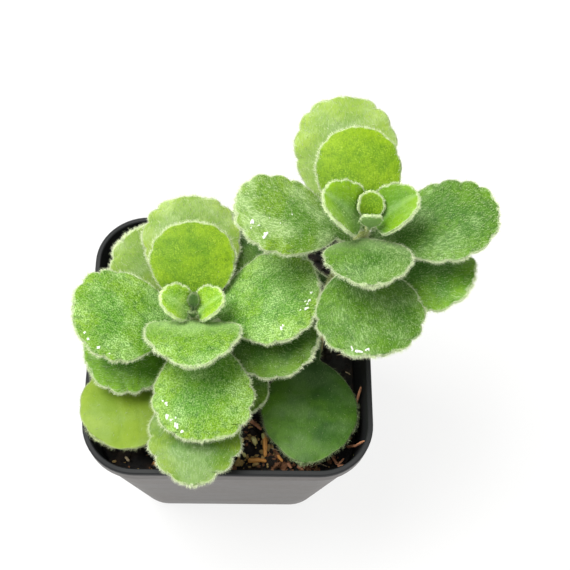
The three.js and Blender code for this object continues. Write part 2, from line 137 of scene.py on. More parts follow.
class NodeMaker:
    """Makes the nodes of one tree."""

    def __init__(self, tree: bpy.types.NodeTree) -> None:
        """Keeps the tree."""
        self.tree = tree

    def node(self, kind: str, settings: dict[str, object], values: dict[str | int, object]) -> bpy.types.Node:
        """Adds a node.

        Args:
            kind: the node's type.
            settings: its properties, set first.
            values: what goes into its sockets, by name or number.

        Returns:
            The node.
        """
        made = self.tree.nodes.new(kind)
        for key, value in settings.items():
            setattr(made, key, value)
        for key, value in values.items():
            if isinstance(value, Wire):
                self.tree.links.new(value.socket, made.inputs[key])
            elif isinstance(value, tuple) and len(value) == 3 and len(made.inputs[key].default_value) == 4:
                made.inputs[key].default_value = (*value, 1.0)
            else:
                made.inputs[key].default_value = value
        return made

    def make(
        self,
        kind: str,
        settings: dict[str, object] | None = None,
        values: dict[str | int, object] | None = None,
        out: str | int = 0,
    ) -> Wire:
        """Adds a node and gives one of its outputs, by name or number."""
        return Wire(self, self.node(kind, settings or {}, values or {}).outputs[out])

    def mix(self, share: Wire | float, low: Wire | Colour, high: Wire | Colour) -> Wire:
        """The colour at a share of the way from low to high."""
        return self.make("ShaderNodeMix", {"data_type": "RGBA"}, {0: share, 6: low, 7: high}, 2)

    def where(self) -> Wire:
        """The object's own coordinates."""
        return self.make("ShaderNodeTexCoord", {}, {}, "Object")

    def attribute(self, name: str, out: str) -> Wire:
        """What the mesh keeps under a name."""
        return self.make("ShaderNodeAttribute", {"attribute_name": name}, {}, out)

    def split(self, vector: Wire) -> tuple[Wire, Wire, Wire]:
        """The three parts of a vector."""
        outputs = self.node("ShaderNodeSeparateXYZ", {}, {0: vector}).outputs
        return Wire(self, outputs[0]), Wire(self, outputs[1]), Wire(self, outputs[2])

    def bump(self, shader: bpy.types.Node, height: Wire, strength: float, distance: float) -> None:
        """Raises a relief on a shader, with its distance in mm."""
        values = {"Height": height, "Strength": strength, "Distance": distance * MM}
        connect(self, self.make("ShaderNodeBump", {}, values), shader, "Normal")

    def noise(self, where: Wire, scale: float, detail: float = 2.0) -> Wire:
        """Soft noise between 0 and 1, with its features to a metre and its finer layers."""
        return self.make("ShaderNodeTexNoise", {}, {"Vector": where, "Scale": scale, "Detail": detail})


def new_material(name: str) -> tuple[bpy.types.Material, NodeMaker, bpy.types.Node]:
    """Starts a material.

    Args:
        name: the material's name.

    Returns:
        The material, its node maker and its shader node.
    """
    material = bpy.data.materials.new(name)
    material.use_nodes = True
    return material, NodeMaker(material.node_tree), material.node_tree.nodes["Principled BSDF"]


def connect(maker: NodeMaker, wire: Wire, shader: bpy.types.Node, socket: str) -> None:
    """Links a wire to a socket of a shader."""
    maker.tree.links.new(wire.socket, shader.inputs[socket])


def set_values(shader: bpy.types.Node, values: dict[str, object]) -> None:
    """Sets sockets of a shader to constants."""
    for socket, value in values.items():
        shader.inputs[socket].default_value = value


def mesh_from(skin: bmesh.types.BMesh, name: str) -> bpy.types.Mesh:
    """Keeps a skin as a mesh of its own and frees the skin.

    Args:
        skin: the skin.
        name: the mesh's name.

    Returns:
        The mesh.
    """
    data = bpy.data.meshes.new(name)
    skin.to_mesh(data)
    skin.free()
    return data


def add_object(name: str, data: bpy.types.ID) -> bpy.types.Object:
    """Puts an object into the scene.

    Args:
        name: the object's name.
        data: its mesh, lamp or camera.

    Returns:
        The object.
    """
    made = bpy.data.objects.new(name, data)
    bpy.context.scene.collection.objects.link(made)
    return made


@dataclass(frozen=True)
class LeafFinish:
    """Colours of one kind of leaf.

    Attributes:
        name: what the finish is called.
        blade: the leaf's own green.
        deep_and_shade: its darker patches and veins, and the painted shade towards its foot.
        young: its yellower patches, most of all towards the margin.
        bloom_and_sheen: the pale down seen against it, which also paints the sheen where the leaf bends over.
        haze: how much of the blade lies under a pale haze, from 0 to 1.
        frost: how strongly the down speckles it, from 0 to 1.
        streak: the share of the speckles that are drawn out along the leaf.
        down: how many hairs stand on a square millimetre of its upper face.
        hair: the colour of its hairs.
        slot: the record's material slot.
        rim: the colour of its margin and the hairs there.
        crease: how pale the down lies along its midrib.
        ridge_sheen: how strong the painted sheen is where it bends over near its foot.
    """

    name: str
    blade: Colour
    deep_and_shade: Colour
    young: Colour
    bloom_and_sheen: Colour
    haze: float
    frost: float
    streak: float
    down: float
    hair: Colour
    slot: str
    rim: Colour = (0.76, 0.83, 0.56)
    crease: float = 0.0
    ridge_sheen: float = 0.0

    def material(self) -> bpy.types.Material:
        """Makes the blade's material.

        Returns:
            The material.
        """
        known = bpy.data.materials.get(f"{self.name}_blade")
        if known:
            return known
        material, maker, shader = new_material(f"{self.name}_blade")
        across, along, inset = maker.split(maker.attribute("place", "Vector"))
        wide, tall, lobe = maker.split(maker.attribute("flat", "Vector"))
        where = maker.where()
        side = abs(across)
        top = inset.step(-0.02, 0.02)
        margin = abs(inset).step(0.38, 0.06)
        patches = maker.noise(where, PATCHES, 2.0).step(0.42, 0.6)
        cloud = maker.noise(where, CLOUDS, 3.0).step(0.42, 0.64)
        fan = maker.make("ShaderNodeCombineXYZ", {}, {0: wide * 3.4, 1: tall * 0.7})
        drawn_out = maker.noise(fan, 1.0, 1.0) * self.streak
        texture = drawn_out + maker.noise(where, SPECKS, 0.5) * (1 - self.streak)
        mottle = maker.noise(where, MOTTLING, 2.0)
        vein = abs((along * VEIN_PAIRS - side * 1.5).fraction() - 0.5).step(0.5, 0.3)
        lime = (patches * 0.5 + side.step(0.3, 0.95) * 0.35) * along.step(0.1, 0.5)
        lime = lime + lobe.step(0.1, 0.5) * 0.3 + along.step(0.75, 1.0) * 0.3
        speckles = (texture + cloud * (self.haze * 0.06)).step(0.52, 0.64)
        layers = (
            (lime, self.young),
            # Painted shade: the blade is darkened towards its foot, where the leaves above and the stem shade
            # it.
            ((1 - along.step(0.0, 0.45)) * 0.6, self.deep_and_shade),
            (mottle.step(0.55, 0.3) * (0.1 + 0.6 * self.frost), self.deep_and_shade),
            (texture.step(0.5, 0.38) * 0.7 * self.frost * top, self.deep_and_shade),
            ((1 - vein) * 0.08 * top, self.deep_and_shade),
            (cloud * (self.haze * 0.4) * top, self.bloom_and_sheen),
            (side.step(0.3, 0.0) * self.crease * top, self.bloom_and_sheen),
            # Painted sheen: pale where the leaf bends over near its foot, as down glows when seen edge on.
            (along.step(0.62, 0.2) * self.ridge_sheen * top, self.bloom_and_sheen),
            (speckles * (cloud * 0.6 + 0.4) * min(1.0, self.frost * 1.5) * top, self.bloom_and_sheen),
            ((1 - top) * 0.45, self.bloom_and_sheen),
            (margin * 0.45, self.rim),
        )
        body = self.blade
        for share, colour in layers:
            body = maker.mix(share, body, colour)
        connect(maker, body, shader, "Base Color")
        maker.bump(shader, mottle + vein * 0.3 + texture * 0.8, 0.6, 0.14)
        set_values(shader, {
            "Roughness": 0.6,
            "Specular IOR Level": 0.25,
            "Sheen Weight": 0.03 + 0.03 * self.down,
            "Sheen Roughness": 0.5,
            "Sheen Tint": (0.76, 0.95, 0.5, 1.0),
        })
        return material

    def hair_material(self) -> bpy.types.Material:
        """Makes the hairs' material, one even colour."""
        return plain_material(f"{self.name}_hair", self.hair, 0.5)


def plain_material(name: str, colour: Colour, roughness: float) -> bpy.types.Material:
    """Makes a material of one even colour, or gives the one of that name.

    Args:
        name: the material's name.
        colour: its base colour.
        roughness: its roughness.

    Returns:
        The material.
    """
    known = bpy.data.materials.get(name)
    if known:
        return known
    material, _, shader = new_material(name)
    set_values(shader, {"Base Color": (*colour, 1.0), "Roughness": roughness})
    return material


class LeafTone(Enum):
    """The kinds of leaf colour on the plant.

    Each was scaled until its leaves came near the photograph's mean colour under these lights.
    """

    LIME = LeafFinish(
        "lime_leaf", (0.100, 0.223, 0.000), (0.043, 0.133, 0.000), (0.218, 0.361, 0.000),
        (0.266, 0.418, 0.019), 0.25, 0.48, 0.35, 2.0, (0.380, 0.522, 0.057), "young_leaf",
    )
    YOUNG = LeafFinish(
        "young_leaf", (0.160, 0.349, 0.007), (0.030, 0.138, 0.003), (0.359, 0.568, 0.000),
        (0.459, 0.672, 0.237), 0.3, 0.45, 0.3, 4.0, (0.598, 0.755, 0.219), "young_leaf", crease=0.3,
    )
    CREST = LeafFinish(
        "crest_leaf", (0.085, 0.216, 0.004), (0.026, 0.111, 0.003), (0.196, 0.367, 0.000),
        (0.302, 0.475, 0.168), 0.3, 0.2, 0.8, 3.0, (0.415, 0.559, 0.193), "young_leaf", crease=0.3,
    )
    FRESH = LeafFinish(
        "fresh_leaf", (0.074, 0.224, 0.004), (0.022, 0.105, 0.003), (0.199, 0.357, 0.000),
        (0.355, 0.550, 0.194), 0.4, 0.85, 0.25, 6.0, (0.500, 0.674, 0.253), "green_leaf",
    )
    # The fresh green with a painted sheen where the leaf arches over.
    ARCH = replace(FRESH, name="arch_leaf", ridge_sheen=0.45)
    MID = LeafFinish(
        "mid_leaf", (0.044, 0.140, 0.004), (0.016, 0.070, 0.003), (0.100, 0.229, 0.002),
        (0.242, 0.384, 0.135), 0.5, 0.6, 0.6, 4.5, (0.392, 0.526, 0.220), "green_leaf",
    )
    # The mid green, a touch darker, with a painted sheen where the leaf bends over.
    MISTY = LeafFinish(
        "mid_sheen_leaf", (0.042, 0.133, 0.004), (0.015, 0.067, 0.003), (0.095, 0.218, 0.002),
        (0.230, 0.365, 0.128), 0.5, 0.6, 0.6, 4.5, (0.372, 0.500, 0.209), "green_leaf", ridge_sheen=0.5,
    )
    HOARY = LeafFinish(
        "hoary_leaf", (0.075, 0.186, 0.010), (0.034, 0.113, 0.006), (0.164, 0.293, 0.004),
        (0.352, 0.493, 0.204), 0.9, 0.7, 0.55, 5.5, (0.491, 0.610, 0.300), "green_leaf",
    )
    SOFT = LeafFinish(
        "soft_leaf", (0.071, 0.176, 0.014), (0.024, 0.093, 0.007), (0.177, 0.281, 0.014),
        (0.294, 0.410, 0.179), 0.7, 0.3, 0.75, 2.5, (0.386, 0.489, 0.267), "green_leaf",
    )
    DARK = LeafFinish(
        "dark_leaf", (0.041, 0.146, 0.003), (0.014, 0.064, 0.002), (0.146, 0.311, 0.003),
        (0.225, 0.374, 0.132), 0.25, 0.4, 0.5, 3.5, (0.421, 0.558, 0.243), "dark_leaf",
    )
    # A darker copy of the dark green for the lower leaves under and behind others: their deep green with
    # painted shade.
    DEEP = LeafFinish(
        "deep_shaded_leaf", (0.026, 0.092, 0.002), (0.009, 0.040, 0.001), (0.092, 0.196, 0.002),
        (0.177, 0.294, 0.104), 0.25, 0.4, 0.5, 3.5, (0.332, 0.439, 0.191), "dark_leaf",
    )
    SHADED = LeafFinish(
        "shaded_leaf", (0.020, 0.072, 0.004), (0.005, 0.025, 0.002), (0.061, 0.155, 0.002),
        (0.126, 0.211, 0.078), 0.55, 0.2, 0.5, 0.8, (0.190, 0.276, 0.098), "dark_leaf", (0.26, 0.32, 0.16),
    )
    SMOOTH = LeafFinish(
        "smooth_leaf", (0.144, 0.241, 0.010), (0.084, 0.169, 0.007), (0.204, 0.302, 0.017),
        (0.309, 0.414, 0.174), 0.35, 0.08, 0.5, 0.4, (0.367, 0.451, 0.261), "young_leaf", (0.5, 0.56, 0.3),
    )
    PALE = LeafFinish(
        "pale_leaf", (0.184, 0.304, 0.054), (0.092, 0.207, 0.027), (0.261, 0.386, 0.036),
        (0.448, 0.572, 0.277), 0.5, 0.25, 0.7, 3.0, (0.569, 0.643, 0.425), "pale_leaf",
    )


@dataclass(frozen=True)
class PotFinish:
    """Thin black plastic, grey on its outer walls with dust and painted reflection.

    Attributes:
        base: the clean plastic.
        wall: the outer walls where the dust and the painted reflection are thin.
        dust_and_reflection: the dust, with the painted reflection of the pale surroundings.
    """

    base: Colour = (0.006, 0.007, 0.008)
    wall: Colour = (0.04, 0.036, 0.033)
    dust_and_reflection: Colour = (0.2, 0.18, 0.168)

    def material(self) -> bpy.types.Material:
        """Makes the plastic.

        Returns:
            The material.
        """
        material, maker, shader = new_material("black_plastic")
        outer = maker.attribute("outer", "Fac")
        drawn = maker.make("ShaderNodeMapping", {}, {"Vector": maker.where(), "Scale": (1.0, 1.0, 2.6)})
        smudge = maker.noise(drawn, 65.0, 5.0).step(0.35, 0.7)
        grain = maker.noise(drawn, 700.0, 3.0).step(0.4, 0.75)
        # Painted reflection: the outer walls are mixed towards a mottled grey that stands for dust and the
        # pale surroundings reflected in them.
        dusty_reflecting_wall = maker.mix(0.25 + smudge * 0.3 + grain * 0.2, self.wall, self.dust_and_reflection)
        connect(maker, maker.mix(outer, self.base, dusty_reflecting_wall), shader, "Base Color")
        connect(maker, 0.62 - outer * 0.2 + smudge * 0.1, shader, "Roughness")
        maker.bump(shader, maker.noise(drawn, 60.0, 2.0), 0.12, 0.4)
        set_values(shader, {"Specular IOR Level": 0.4})
        return material


@dataclass(frozen=True)
class SoilFinish:
    """Dark, moist peat.

    Attributes:
        dark: the peat itself.
        brown: its paler lumps.
    """

    dark: Colour = (0.006, 0.005, 0.005)
    brown: Colour = (0.03, 0.017, 0.01)

    def material(self) -> bpy.types.Material:
        """Makes the peat.

        Returns:
            The material.
        """
        material, maker, shader = new_material("peat")
        where = maker.where()
        lumps = maker.noise(where, 420.0, 4.0).step(0.45, 0.68)
        connect(maker, maker.mix(lumps, self.dark, self.brown), shader, "Base Color")
        maker.bump(shader, maker.noise(where, 1500.0, 4.0), 0.8, 0.3)
        set_values(shader, {"Roughness": 0.85})
        return material


@dataclass(frozen=True)
class StemFinish:
    """Olive green skin that browns towards the foot.

    Attributes:
        green: its colour above.
        brown: its colour towards the foot.
        hair: the colour of its hairs.
    """

    green: Colour = (0.38, 0.44, 0.08)
    brown: Colour = (0.4, 0.3, 0.08)
    hair: Colour = (0.72, 0.76, 0.48)

    def material(self) -> bpy.types.Material:
        """Makes the skin.

        Returns:
            The material.
        """
        material, maker, shader = new_material("stem_skin")
        where = maker.where()
        height = maker.split(where)[2]
        mottle = maker.noise(where, 500.0, 3.0) * 0.012
        skin = maker.mix((height + mottle).step(0.05, 0.075), self.brown, self.green)
        connect(maker, skin, shader, "Base Color")
        set_values(shader, {"Roughness": 0.65, "Sheen Weight": 0.3})
        return material


class Grit(Enum):
    """The loose bits on the soil, each with its colour and roughness."""

    PEAT = ("peat_crumb", (0.014, 0.009, 0.006), 0.9)
    BROWN = ("brown_crumb", (0.22, 0.1, 0.045), 0.85)
    TAN = ("tan_crumb", (0.5, 0.34, 0.13), 0.8)
    PALE = ("pale_grain", (0.72, 0.66, 0.26), 0.55)
    BARK = ("bark", (0.78, 0.36, 0.09), 0.7)
    TWIG = ("twig", (0.5, 0.23, 0.12), 0.7)
    FIBRE = ("fibre", (0.6, 0.48, 0.3), 0.75)
    FLECK = ("residue", (0.82, 0.86, 0.78), 0.6)

    def material(self) -> bpy.types.Material:
        """Makes the grit's material, one even colour."""
        name, colour, roughness = self.value
        return plain_material(name, colour, roughness)


def smooth_step(value: float) -> float:
    """Rises smoothly from 0 at 0 to 1 at 1."""
    t = min(max(value, 0.0), 1.0)
    return t * t * (3.0 - 2.0 * t)


def mix(low: float, high: float, share: float) -> float:
    """The value at a share of the way from low to high."""
    return low + (high - low) * share


def finish_piece(
    mesh: bmesh.types.BMesh | bpy.types.Mesh,
    name: str,
    material: bpy.types.Material,
    replaces: Iterable[str] = (),
    smooth: bool = True,
) -> bpy.types.Object:
    """Turns a mesh into a piece of the plant.

    Args:
        mesh: the finished shape, in metres, in place.
        name: the piece's name.
        material: its material.
        replaces: the CAD nodes that it stands for.
        smooth: whether its faces are shaded smooth.

    Returns:
        The piece.
    """
    if isinstance(mesh, bmesh.types.BMesh):
        bmesh.ops.recalc_face_normals(mesh, faces=mesh.faces[:])
        data = mesh_from(mesh, name)
    else:
        data = mesh
        data.name = name
    data.materials.clear()
    data.materials.append(material)
    data.polygons.foreach_set("use_smooth", [smooth] * len(data.polygons))
    piece = add_object(name, data)
    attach(piece, "root")
    for node in replaces:
        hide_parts(node)
    triangles = sum(len(face.vertices) - 2 for face in data.polygons)
    log.info("%s: %d triangles", name, triangles)
    return piece


def rounded_square(side: float, corner: float, steps: int) -> list[tuple[float, float]]:
    """The points of a square with rounded corners, counter clockwise.

    Args:
        side: its side.
        corner: the radius of its corners.
        steps: how many steps each corner has.

    Returns:
        The points.
    """
    reach = side / 2 - corner
    points = []
    for quarter in range(4):
        middle = math.radians(45 + 90 * quarter)
        x = math.copysign(reach, math.cos(middle))
        y = math.copysign(reach, math.sin(middle))
        for step in range(steps + 1):
            angle = math.radians(90 * quarter + 90 * step / steps)
            points.append((x + corner * math.cos(angle), y + corner * math.sin(angle)))
    return points


def sweep_rings(rings: Sequence[Sequence[Vector]]) -> bmesh.types.BMesh:
    """A closed skin drawn through rings of equal count, from a circle that is extruded ring by ring.

    Args:
        rings: the rings, in metres.

    Returns:
        The skin.
    """
    skin = bmesh.new()
    first = bmesh.ops.create_circle(skin, cap_ends=True, segments=len(rings[0]), radius=1.0)["verts"]
    for vertex, place in zip(first, rings[0]):
        vertex.co = place
    edge_loop = [edge for edge in skin.edges if edge.is_boundary]
    for ring in rings[1:]:
        order = {vertex: k for k, vertex in enumerate(first)}
        made = bmesh.ops.extrude_edge_only(skin, edges=edge_loop)["geom"]
        edge_loop = [item for item in made if isinstance(item, bmesh.types.BMEdge)]
        lifted = [item for item in made if isinstance(item, bmesh.types.BMVert)]
        partner = {}
        for vertex in lifted:
            for edge in vertex.link_edges:
                other = edge.other_vert(vertex)
                if other in order:
                    partner[order[other]] = vertex
        first = [partner[k] for k in range(len(ring))]
        for vertex, place in zip(first, ring):
            vertex.co = place
    bmesh.ops.contextual_create(skin, geom=edge_loop)
    bmesh.ops.recalc_face_normals(skin, faces=skin.faces[:])
    return skin


@dataclass
class HairGrower:
    """Grows fine tapered hairs on a piece, as real faces.

    Attributes:
        layer: the point layer with the hairs to a square millimetre and their length in mm.
        thickness: the radius of a hair's foot, in mm.
        spread: how far a hair strays from its lean.
        tufts: the share of the skin left bare between tufts.
    """

    layer: str
    thickness: float
    spread: float
    tufts: float
    tree: bpy.types.NodeTree = field(init=False)

    def __post_init__(self) -> None:
        """Builds the tree of nodes that places the hairs."""
        tree = bpy.data.node_groups.new(f"{self.layer}_grower", "GeometryNodeTree")
        tree.interface.new_socket("Geometry", in_out="INPUT", socket_type="NodeSocketGeometry")
        tree.interface.new_socket("Seed", in_out="INPUT", socket_type="NodeSocketInt")
        tree.interface.new_socket("Geometry", in_out="OUTPUT", socket_type="NodeSocketGeometry")
        maker = NodeMaker(tree)
        entry = maker.node("NodeGroupInput", {}, {})
        surface, seed = Wire(maker, entry.outputs[0]), Wire(maker, entry.outputs[1])
        named = {"data_type": "FLOAT_VECTOR"}
        fur = maker.make("GeometryNodeInputNamedAttribute", named, {"Name": self.layer}, "Attribute")
        lean = maker.make("GeometryNodeInputNamedAttribute", named, {"Name": "lean"}, "Attribute")
        to_square_mm, length, _ = maker.split(fur)
        density = to_square_mm * 1e6
        sown = {"Mesh": surface, "Density": density, "Seed": seed}
        points = maker.make("GeometryNodeDistributePointsOnFaces", {}, sown, "Points")
        where = maker.make("GeometryNodeInputPosition")
        bare = maker.noise(where, TUFTS, 1.0).under(0.3 + 0.4 * self.tufts)
        tufted = maker.make(
            "GeometryNodeDeleteGeometry", {"domain": "POINT"}, {"Geometry": points, "Selection": bare}
        )
        stray = maker.make(
            "FunctionNodeRandomValue",
            {"data_type": "FLOAT_VECTOR"},
            {0: (-self.spread,) * 3, 1: (self.spread,) * 3, "Seed": seed},
        )
        towards = maker.make("ShaderNodeVectorMath", {"operation": "ADD"}, {0: lean, 1: stray})
        turned = maker.make("FunctionNodeAlignRotationToVector", {"axis": "Z"}, {"Vector": towards})
        one_value = {"data_type": "FLOAT"}
        size, width = (
            maker.make("FunctionNodeRandomValue", one_value, {2: least, 3: most, "Seed": seed}, 1)
            for least, most in (HAIR_LENGTHS, HAIR_WIDTHS)
        )
        scale = maker.make("ShaderNodeCombineXYZ", {}, {0: width, 1: width, 2: size * length})
        hair = maker.make(
            "GeometryNodeMeshCone",
            {"fill_type": "NONE"},
            {"Vertices": 3, "Radius Top": 0.0, "Radius Bottom": self.thickness * MM, "Depth": MM},
            "Mesh",
        )
        values = {"Points": tufted, "Instance": hair, "Rotation": turned, "Scale": scale}
        planted = maker.make("GeometryNodeInstanceOnPoints", {}, values)
        real = maker.make("GeometryNodeRealizeInstances", {}, {0: planted})
        maker.node("NodeGroupOutput", {}, {0: real})
        self.tree = tree

    def grow(self, skin: bpy.types.Object, seed: int, material: bpy.types.Material, slot: str) -> None:
        """Grows the hairs of one piece.

        Args:
            skin: the piece, with the grower's layer on its points.
            seed: where its random draws start.
            material: the hairs' material.
            slot: the record's material slot; not used.
        """
        bed = add_object("bed", skin.data)
        modifier = bed.modifiers.new("grow", "NODES")
        modifier.node_group = self.tree
        seed_key = [item.identifier for item in self.tree.interface.items_tree if item.name == "Seed"][0]
        modifier[seed_key] = seed
        graph = bpy.context.evaluated_depsgraph_get()
        mesh = bpy.data.meshes.new_from_object(bed.evaluated_get(graph))
        bpy.data.objects.remove(bed)
        for layer in list(mesh.attributes):
            if layer.name in ("down", "fringe", "lean", "place", "flat", "UVMap"):
                mesh.attributes.remove(layer)
        if not mesh.uv_layers:
            mesh.uv_layers.new(name="OFBake")
        mesh.uv_layers[0].name = "OFBake"
        finish_piece(mesh, f"{skin.name}_{self.layer}", material, smooth=False)


@dataclass
class Stem:
    """One upright shoot.

    Attributes:
        name: its CAD node.
        radius: its radius at the soil and at the tip, in mm.
        path: points along its middle, in mm.
        sides: how many sides its sections have.
        steps: how many sections it has along its path.
        depth: the height of its buried foot, in mm.
        node_swelling: how much thicker it is at a joint, as a share of its radius.
        node_reach: how far from a joint the swelling ends, in mm.
        tip_taper_length: how far below its tip it starts to taper, in mm.
        tip_taper: the share of its radius that is left at the tip.
        tip_cap: how far above its end each ring of its rounded tip lies, in mm, and its share of the radius.
        joints: the heights where its leaves grow, in mm.
    """

    name: str
    radius: tuple[float, float]
    path: tuple[Point, ...]
    sides: int = 24
    steps: int = 70
    depth: float = 34.0
    node_swelling: float = 0.1
    node_reach: float = 2.4
    tip_taper_length: float = 6.0
    tip_taper: float = 0.55
    tip_cap: tuple[tuple[float, float], ...] = ((0.2, 0.9), (0.4, 0.65), (0.55, 0.3))
    joints: list[float] = field(default_factory=list)

    def at(self, share: float) -> Vector:
        """The middle of the stem, by a centripetal curve through its path.

        Args:
            share: the share of the curve.

        Returns:
            The place, in mm.
        """
        points = [Vector(point) for point in self.path]
        last = len(points) - 1
        place = share * last
        span = min(int(place), last - 1)
        weight = place - span
        p1, p2 = points[span], points[span + 1]
        p0 = points[span - 1] if span > 0 else p1 * 2 - p2
        p3 = points[span + 2] if span + 2 <= last else p2 * 2 - p1
        gaps = [max((b - a).length ** 0.5, 1e-4) for a, b in ((p0, p1), (p1, p2), (p2, p3))]
        t1 = (p1 - p0) / gaps[0] - (p2 - p0) / (gaps[0] + gaps[1]) + (p2 - p1) / gaps[1]
        t2 = (p2 - p1) / gaps[1] - (p3 - p1) / (gaps[1] + gaps[2]) + (p3 - p2) / gaps[2]
        t1, t2 = t1 * gaps[1], t2 * gaps[1]
        bend = (p1 - p2) * 2 + t1 + t2
        turn = (p2 - p1) * 3 - t1 * 2 - t2
        return ((bend * weight + turn) * weight + t1) * weight + p1

    def thickness(self, share: float, height: float) -> float:
        """The stem's radius at a share of its curve and a height."""
        near_tip = smooth_step(1 - (self.path[-1][2] - height) / self.tip_taper_length)
        return mix(*self.radius, share) * mix(1.0, self.tip_taper, near_tip)

    def at_height(self, height: float) -> tuple[Vector, float]:
        """Where the stem reaches a height.

        Args:
            height: the height, in mm.

        Returns:
            The place and the radius there, in mm.
        """
        low, high = 0.0, 1.0
        for _ in range(40):
            middle = (low + high) / 2
            if self.at(middle).z < height:
                low = middle
            else:
                high = middle
        return self.at(low), self.thickness(low, height)

    def build(self, finish: StemFinish, hairs: HairGrower) -> None:
        """Makes the stem, with its swollen joints, its tip and its hairs.

        Args:
            finish: its skin.
            hairs: grows its down.
        """
        foot = self.at(0.0)
        sections = [(Vector((foot.x, foot.y, self.depth + 0.3)), self.radius[0] * 0.8)]
        sections.append((Vector((foot.x, foot.y, self.depth + 3)), self.radius[0]))
        for step in range(self.steps + 1):
            share = step / self.steps
            middle = self.at(share)
            nearest = min(abs(height - middle.z) for height in self.joints)
            swelling = self.node_swelling * (1 - smooth_step(nearest / self.node_reach))
            sections.append((middle, self.thickness(share, middle.z) * (1 + swelling)))
        up = (self.at(1.0) - self.at(0.98)).normalized()
        tip, radius = sections[-1]
        sections += [(tip + up * rise, radius * share) for rise, share in self.tip_cap]
        rings = []
        for middle, radius in sections:
            ring = []
            for k in range(self.sides):
                angle = 2 * math.pi * k / self.sides
                ribs = 1 + 0.04 * math.cos(4 * angle)
                out = Vector((math.cos(angle), math.sin(angle), 0)) * radius * ribs
                ring.append((middle + out) * MM)
            rings.append(ring)
        skin = sweep_rings(rings)
        down = skin.verts.layers.float_vector.new("down")
        lean = skin.verts.layers.float_vector.new("lean")
        skin.normal_update()
        for vertex in skin.verts:
            shown = 1.0 if vertex.co.z > SOIL_TOP * MM else 0.0
            vertex[down] = (STEM_DOWN[0] * shown, STEM_DOWN[1], 0)
            vertex[lean] = vertex.normal + Vector((0, 0, 0.2))
        piece = finish_piece(skin, f"{self.name}_skin", finish.material(), [self.name])
        hairs.grow(piece, 5, plain_material("stem_hair", finish.hair, 0.5), "stem_skin")


@dataclass(frozen=True)
class LeafHabit:
    """How a leaf is shaped at one age.

    Attributes:
        petiole: the share of its length that is petiole.
        stalk: the petiole's half width, in mm.
        base_taper: how the outline swells from the petiole.
        tip_taper: how it closes at the tip.
        lobes: how many scallops each side has.
        lobe_depth: how deep they are, in mm.
        cup: how far the blade is cupped, in degrees.
        thickness: how thick it is along the midrib, in mm.
        groove: how deep the groove along its midrib is, in mm.
    """

    petiole: float
    stalk: float
    base_taper: float
    tip_taper: float
    lobes: float
    lobe_depth: float
    cup: float
    thickness: float
    groove: float


class Habit(Enum):
    """The ages and habits of the plant's leaves."""

    BUD = LeafHabit(0.06, 0.5, 0.5, 0.5, 3.5, 0.2, 25, 0.9, 0.1)
    YOUNG = LeafHabit(0.06, 0.9, 0.42, 0.5, 5.5, 0.4, 30, 1.1, 0.9)
    ARCHED = LeafHabit(0.1, 1.4, 0.36, 0.62, 6.5, 0.6, 8, 1.5, 0.1)
    DRAPED = LeafHabit(0.1, 1.4, 0.45, 0.62, 6.5, 0.65, -12, 1.5, 0.1)
    ROUND = LeafHabit(0.1, 1.4, 0.5, 0.45, 6.5, 0.45, -8, 1.4, 0.15)
    MATURE = LeafHabit(0.13, 1.7, 0.66, 0.45, 7.5, 0.95, -14, 1.6, 0.15)
    POINTED = LeafHabit(0.3, 1.4, 0.8, 0.65, 7.5, 1.15, -12, 1.6, 0.15)
    TAPERING = LeafHabit(0.18, 1.1, 0.72, 0.7, 6.5, 0.35, -10, 1.5, 0.1)
    SHADED = LeafHabit(0.18, 1.1, 0.75, 0.5, 6.5, 0.35, -10, 1.5, 0.1)


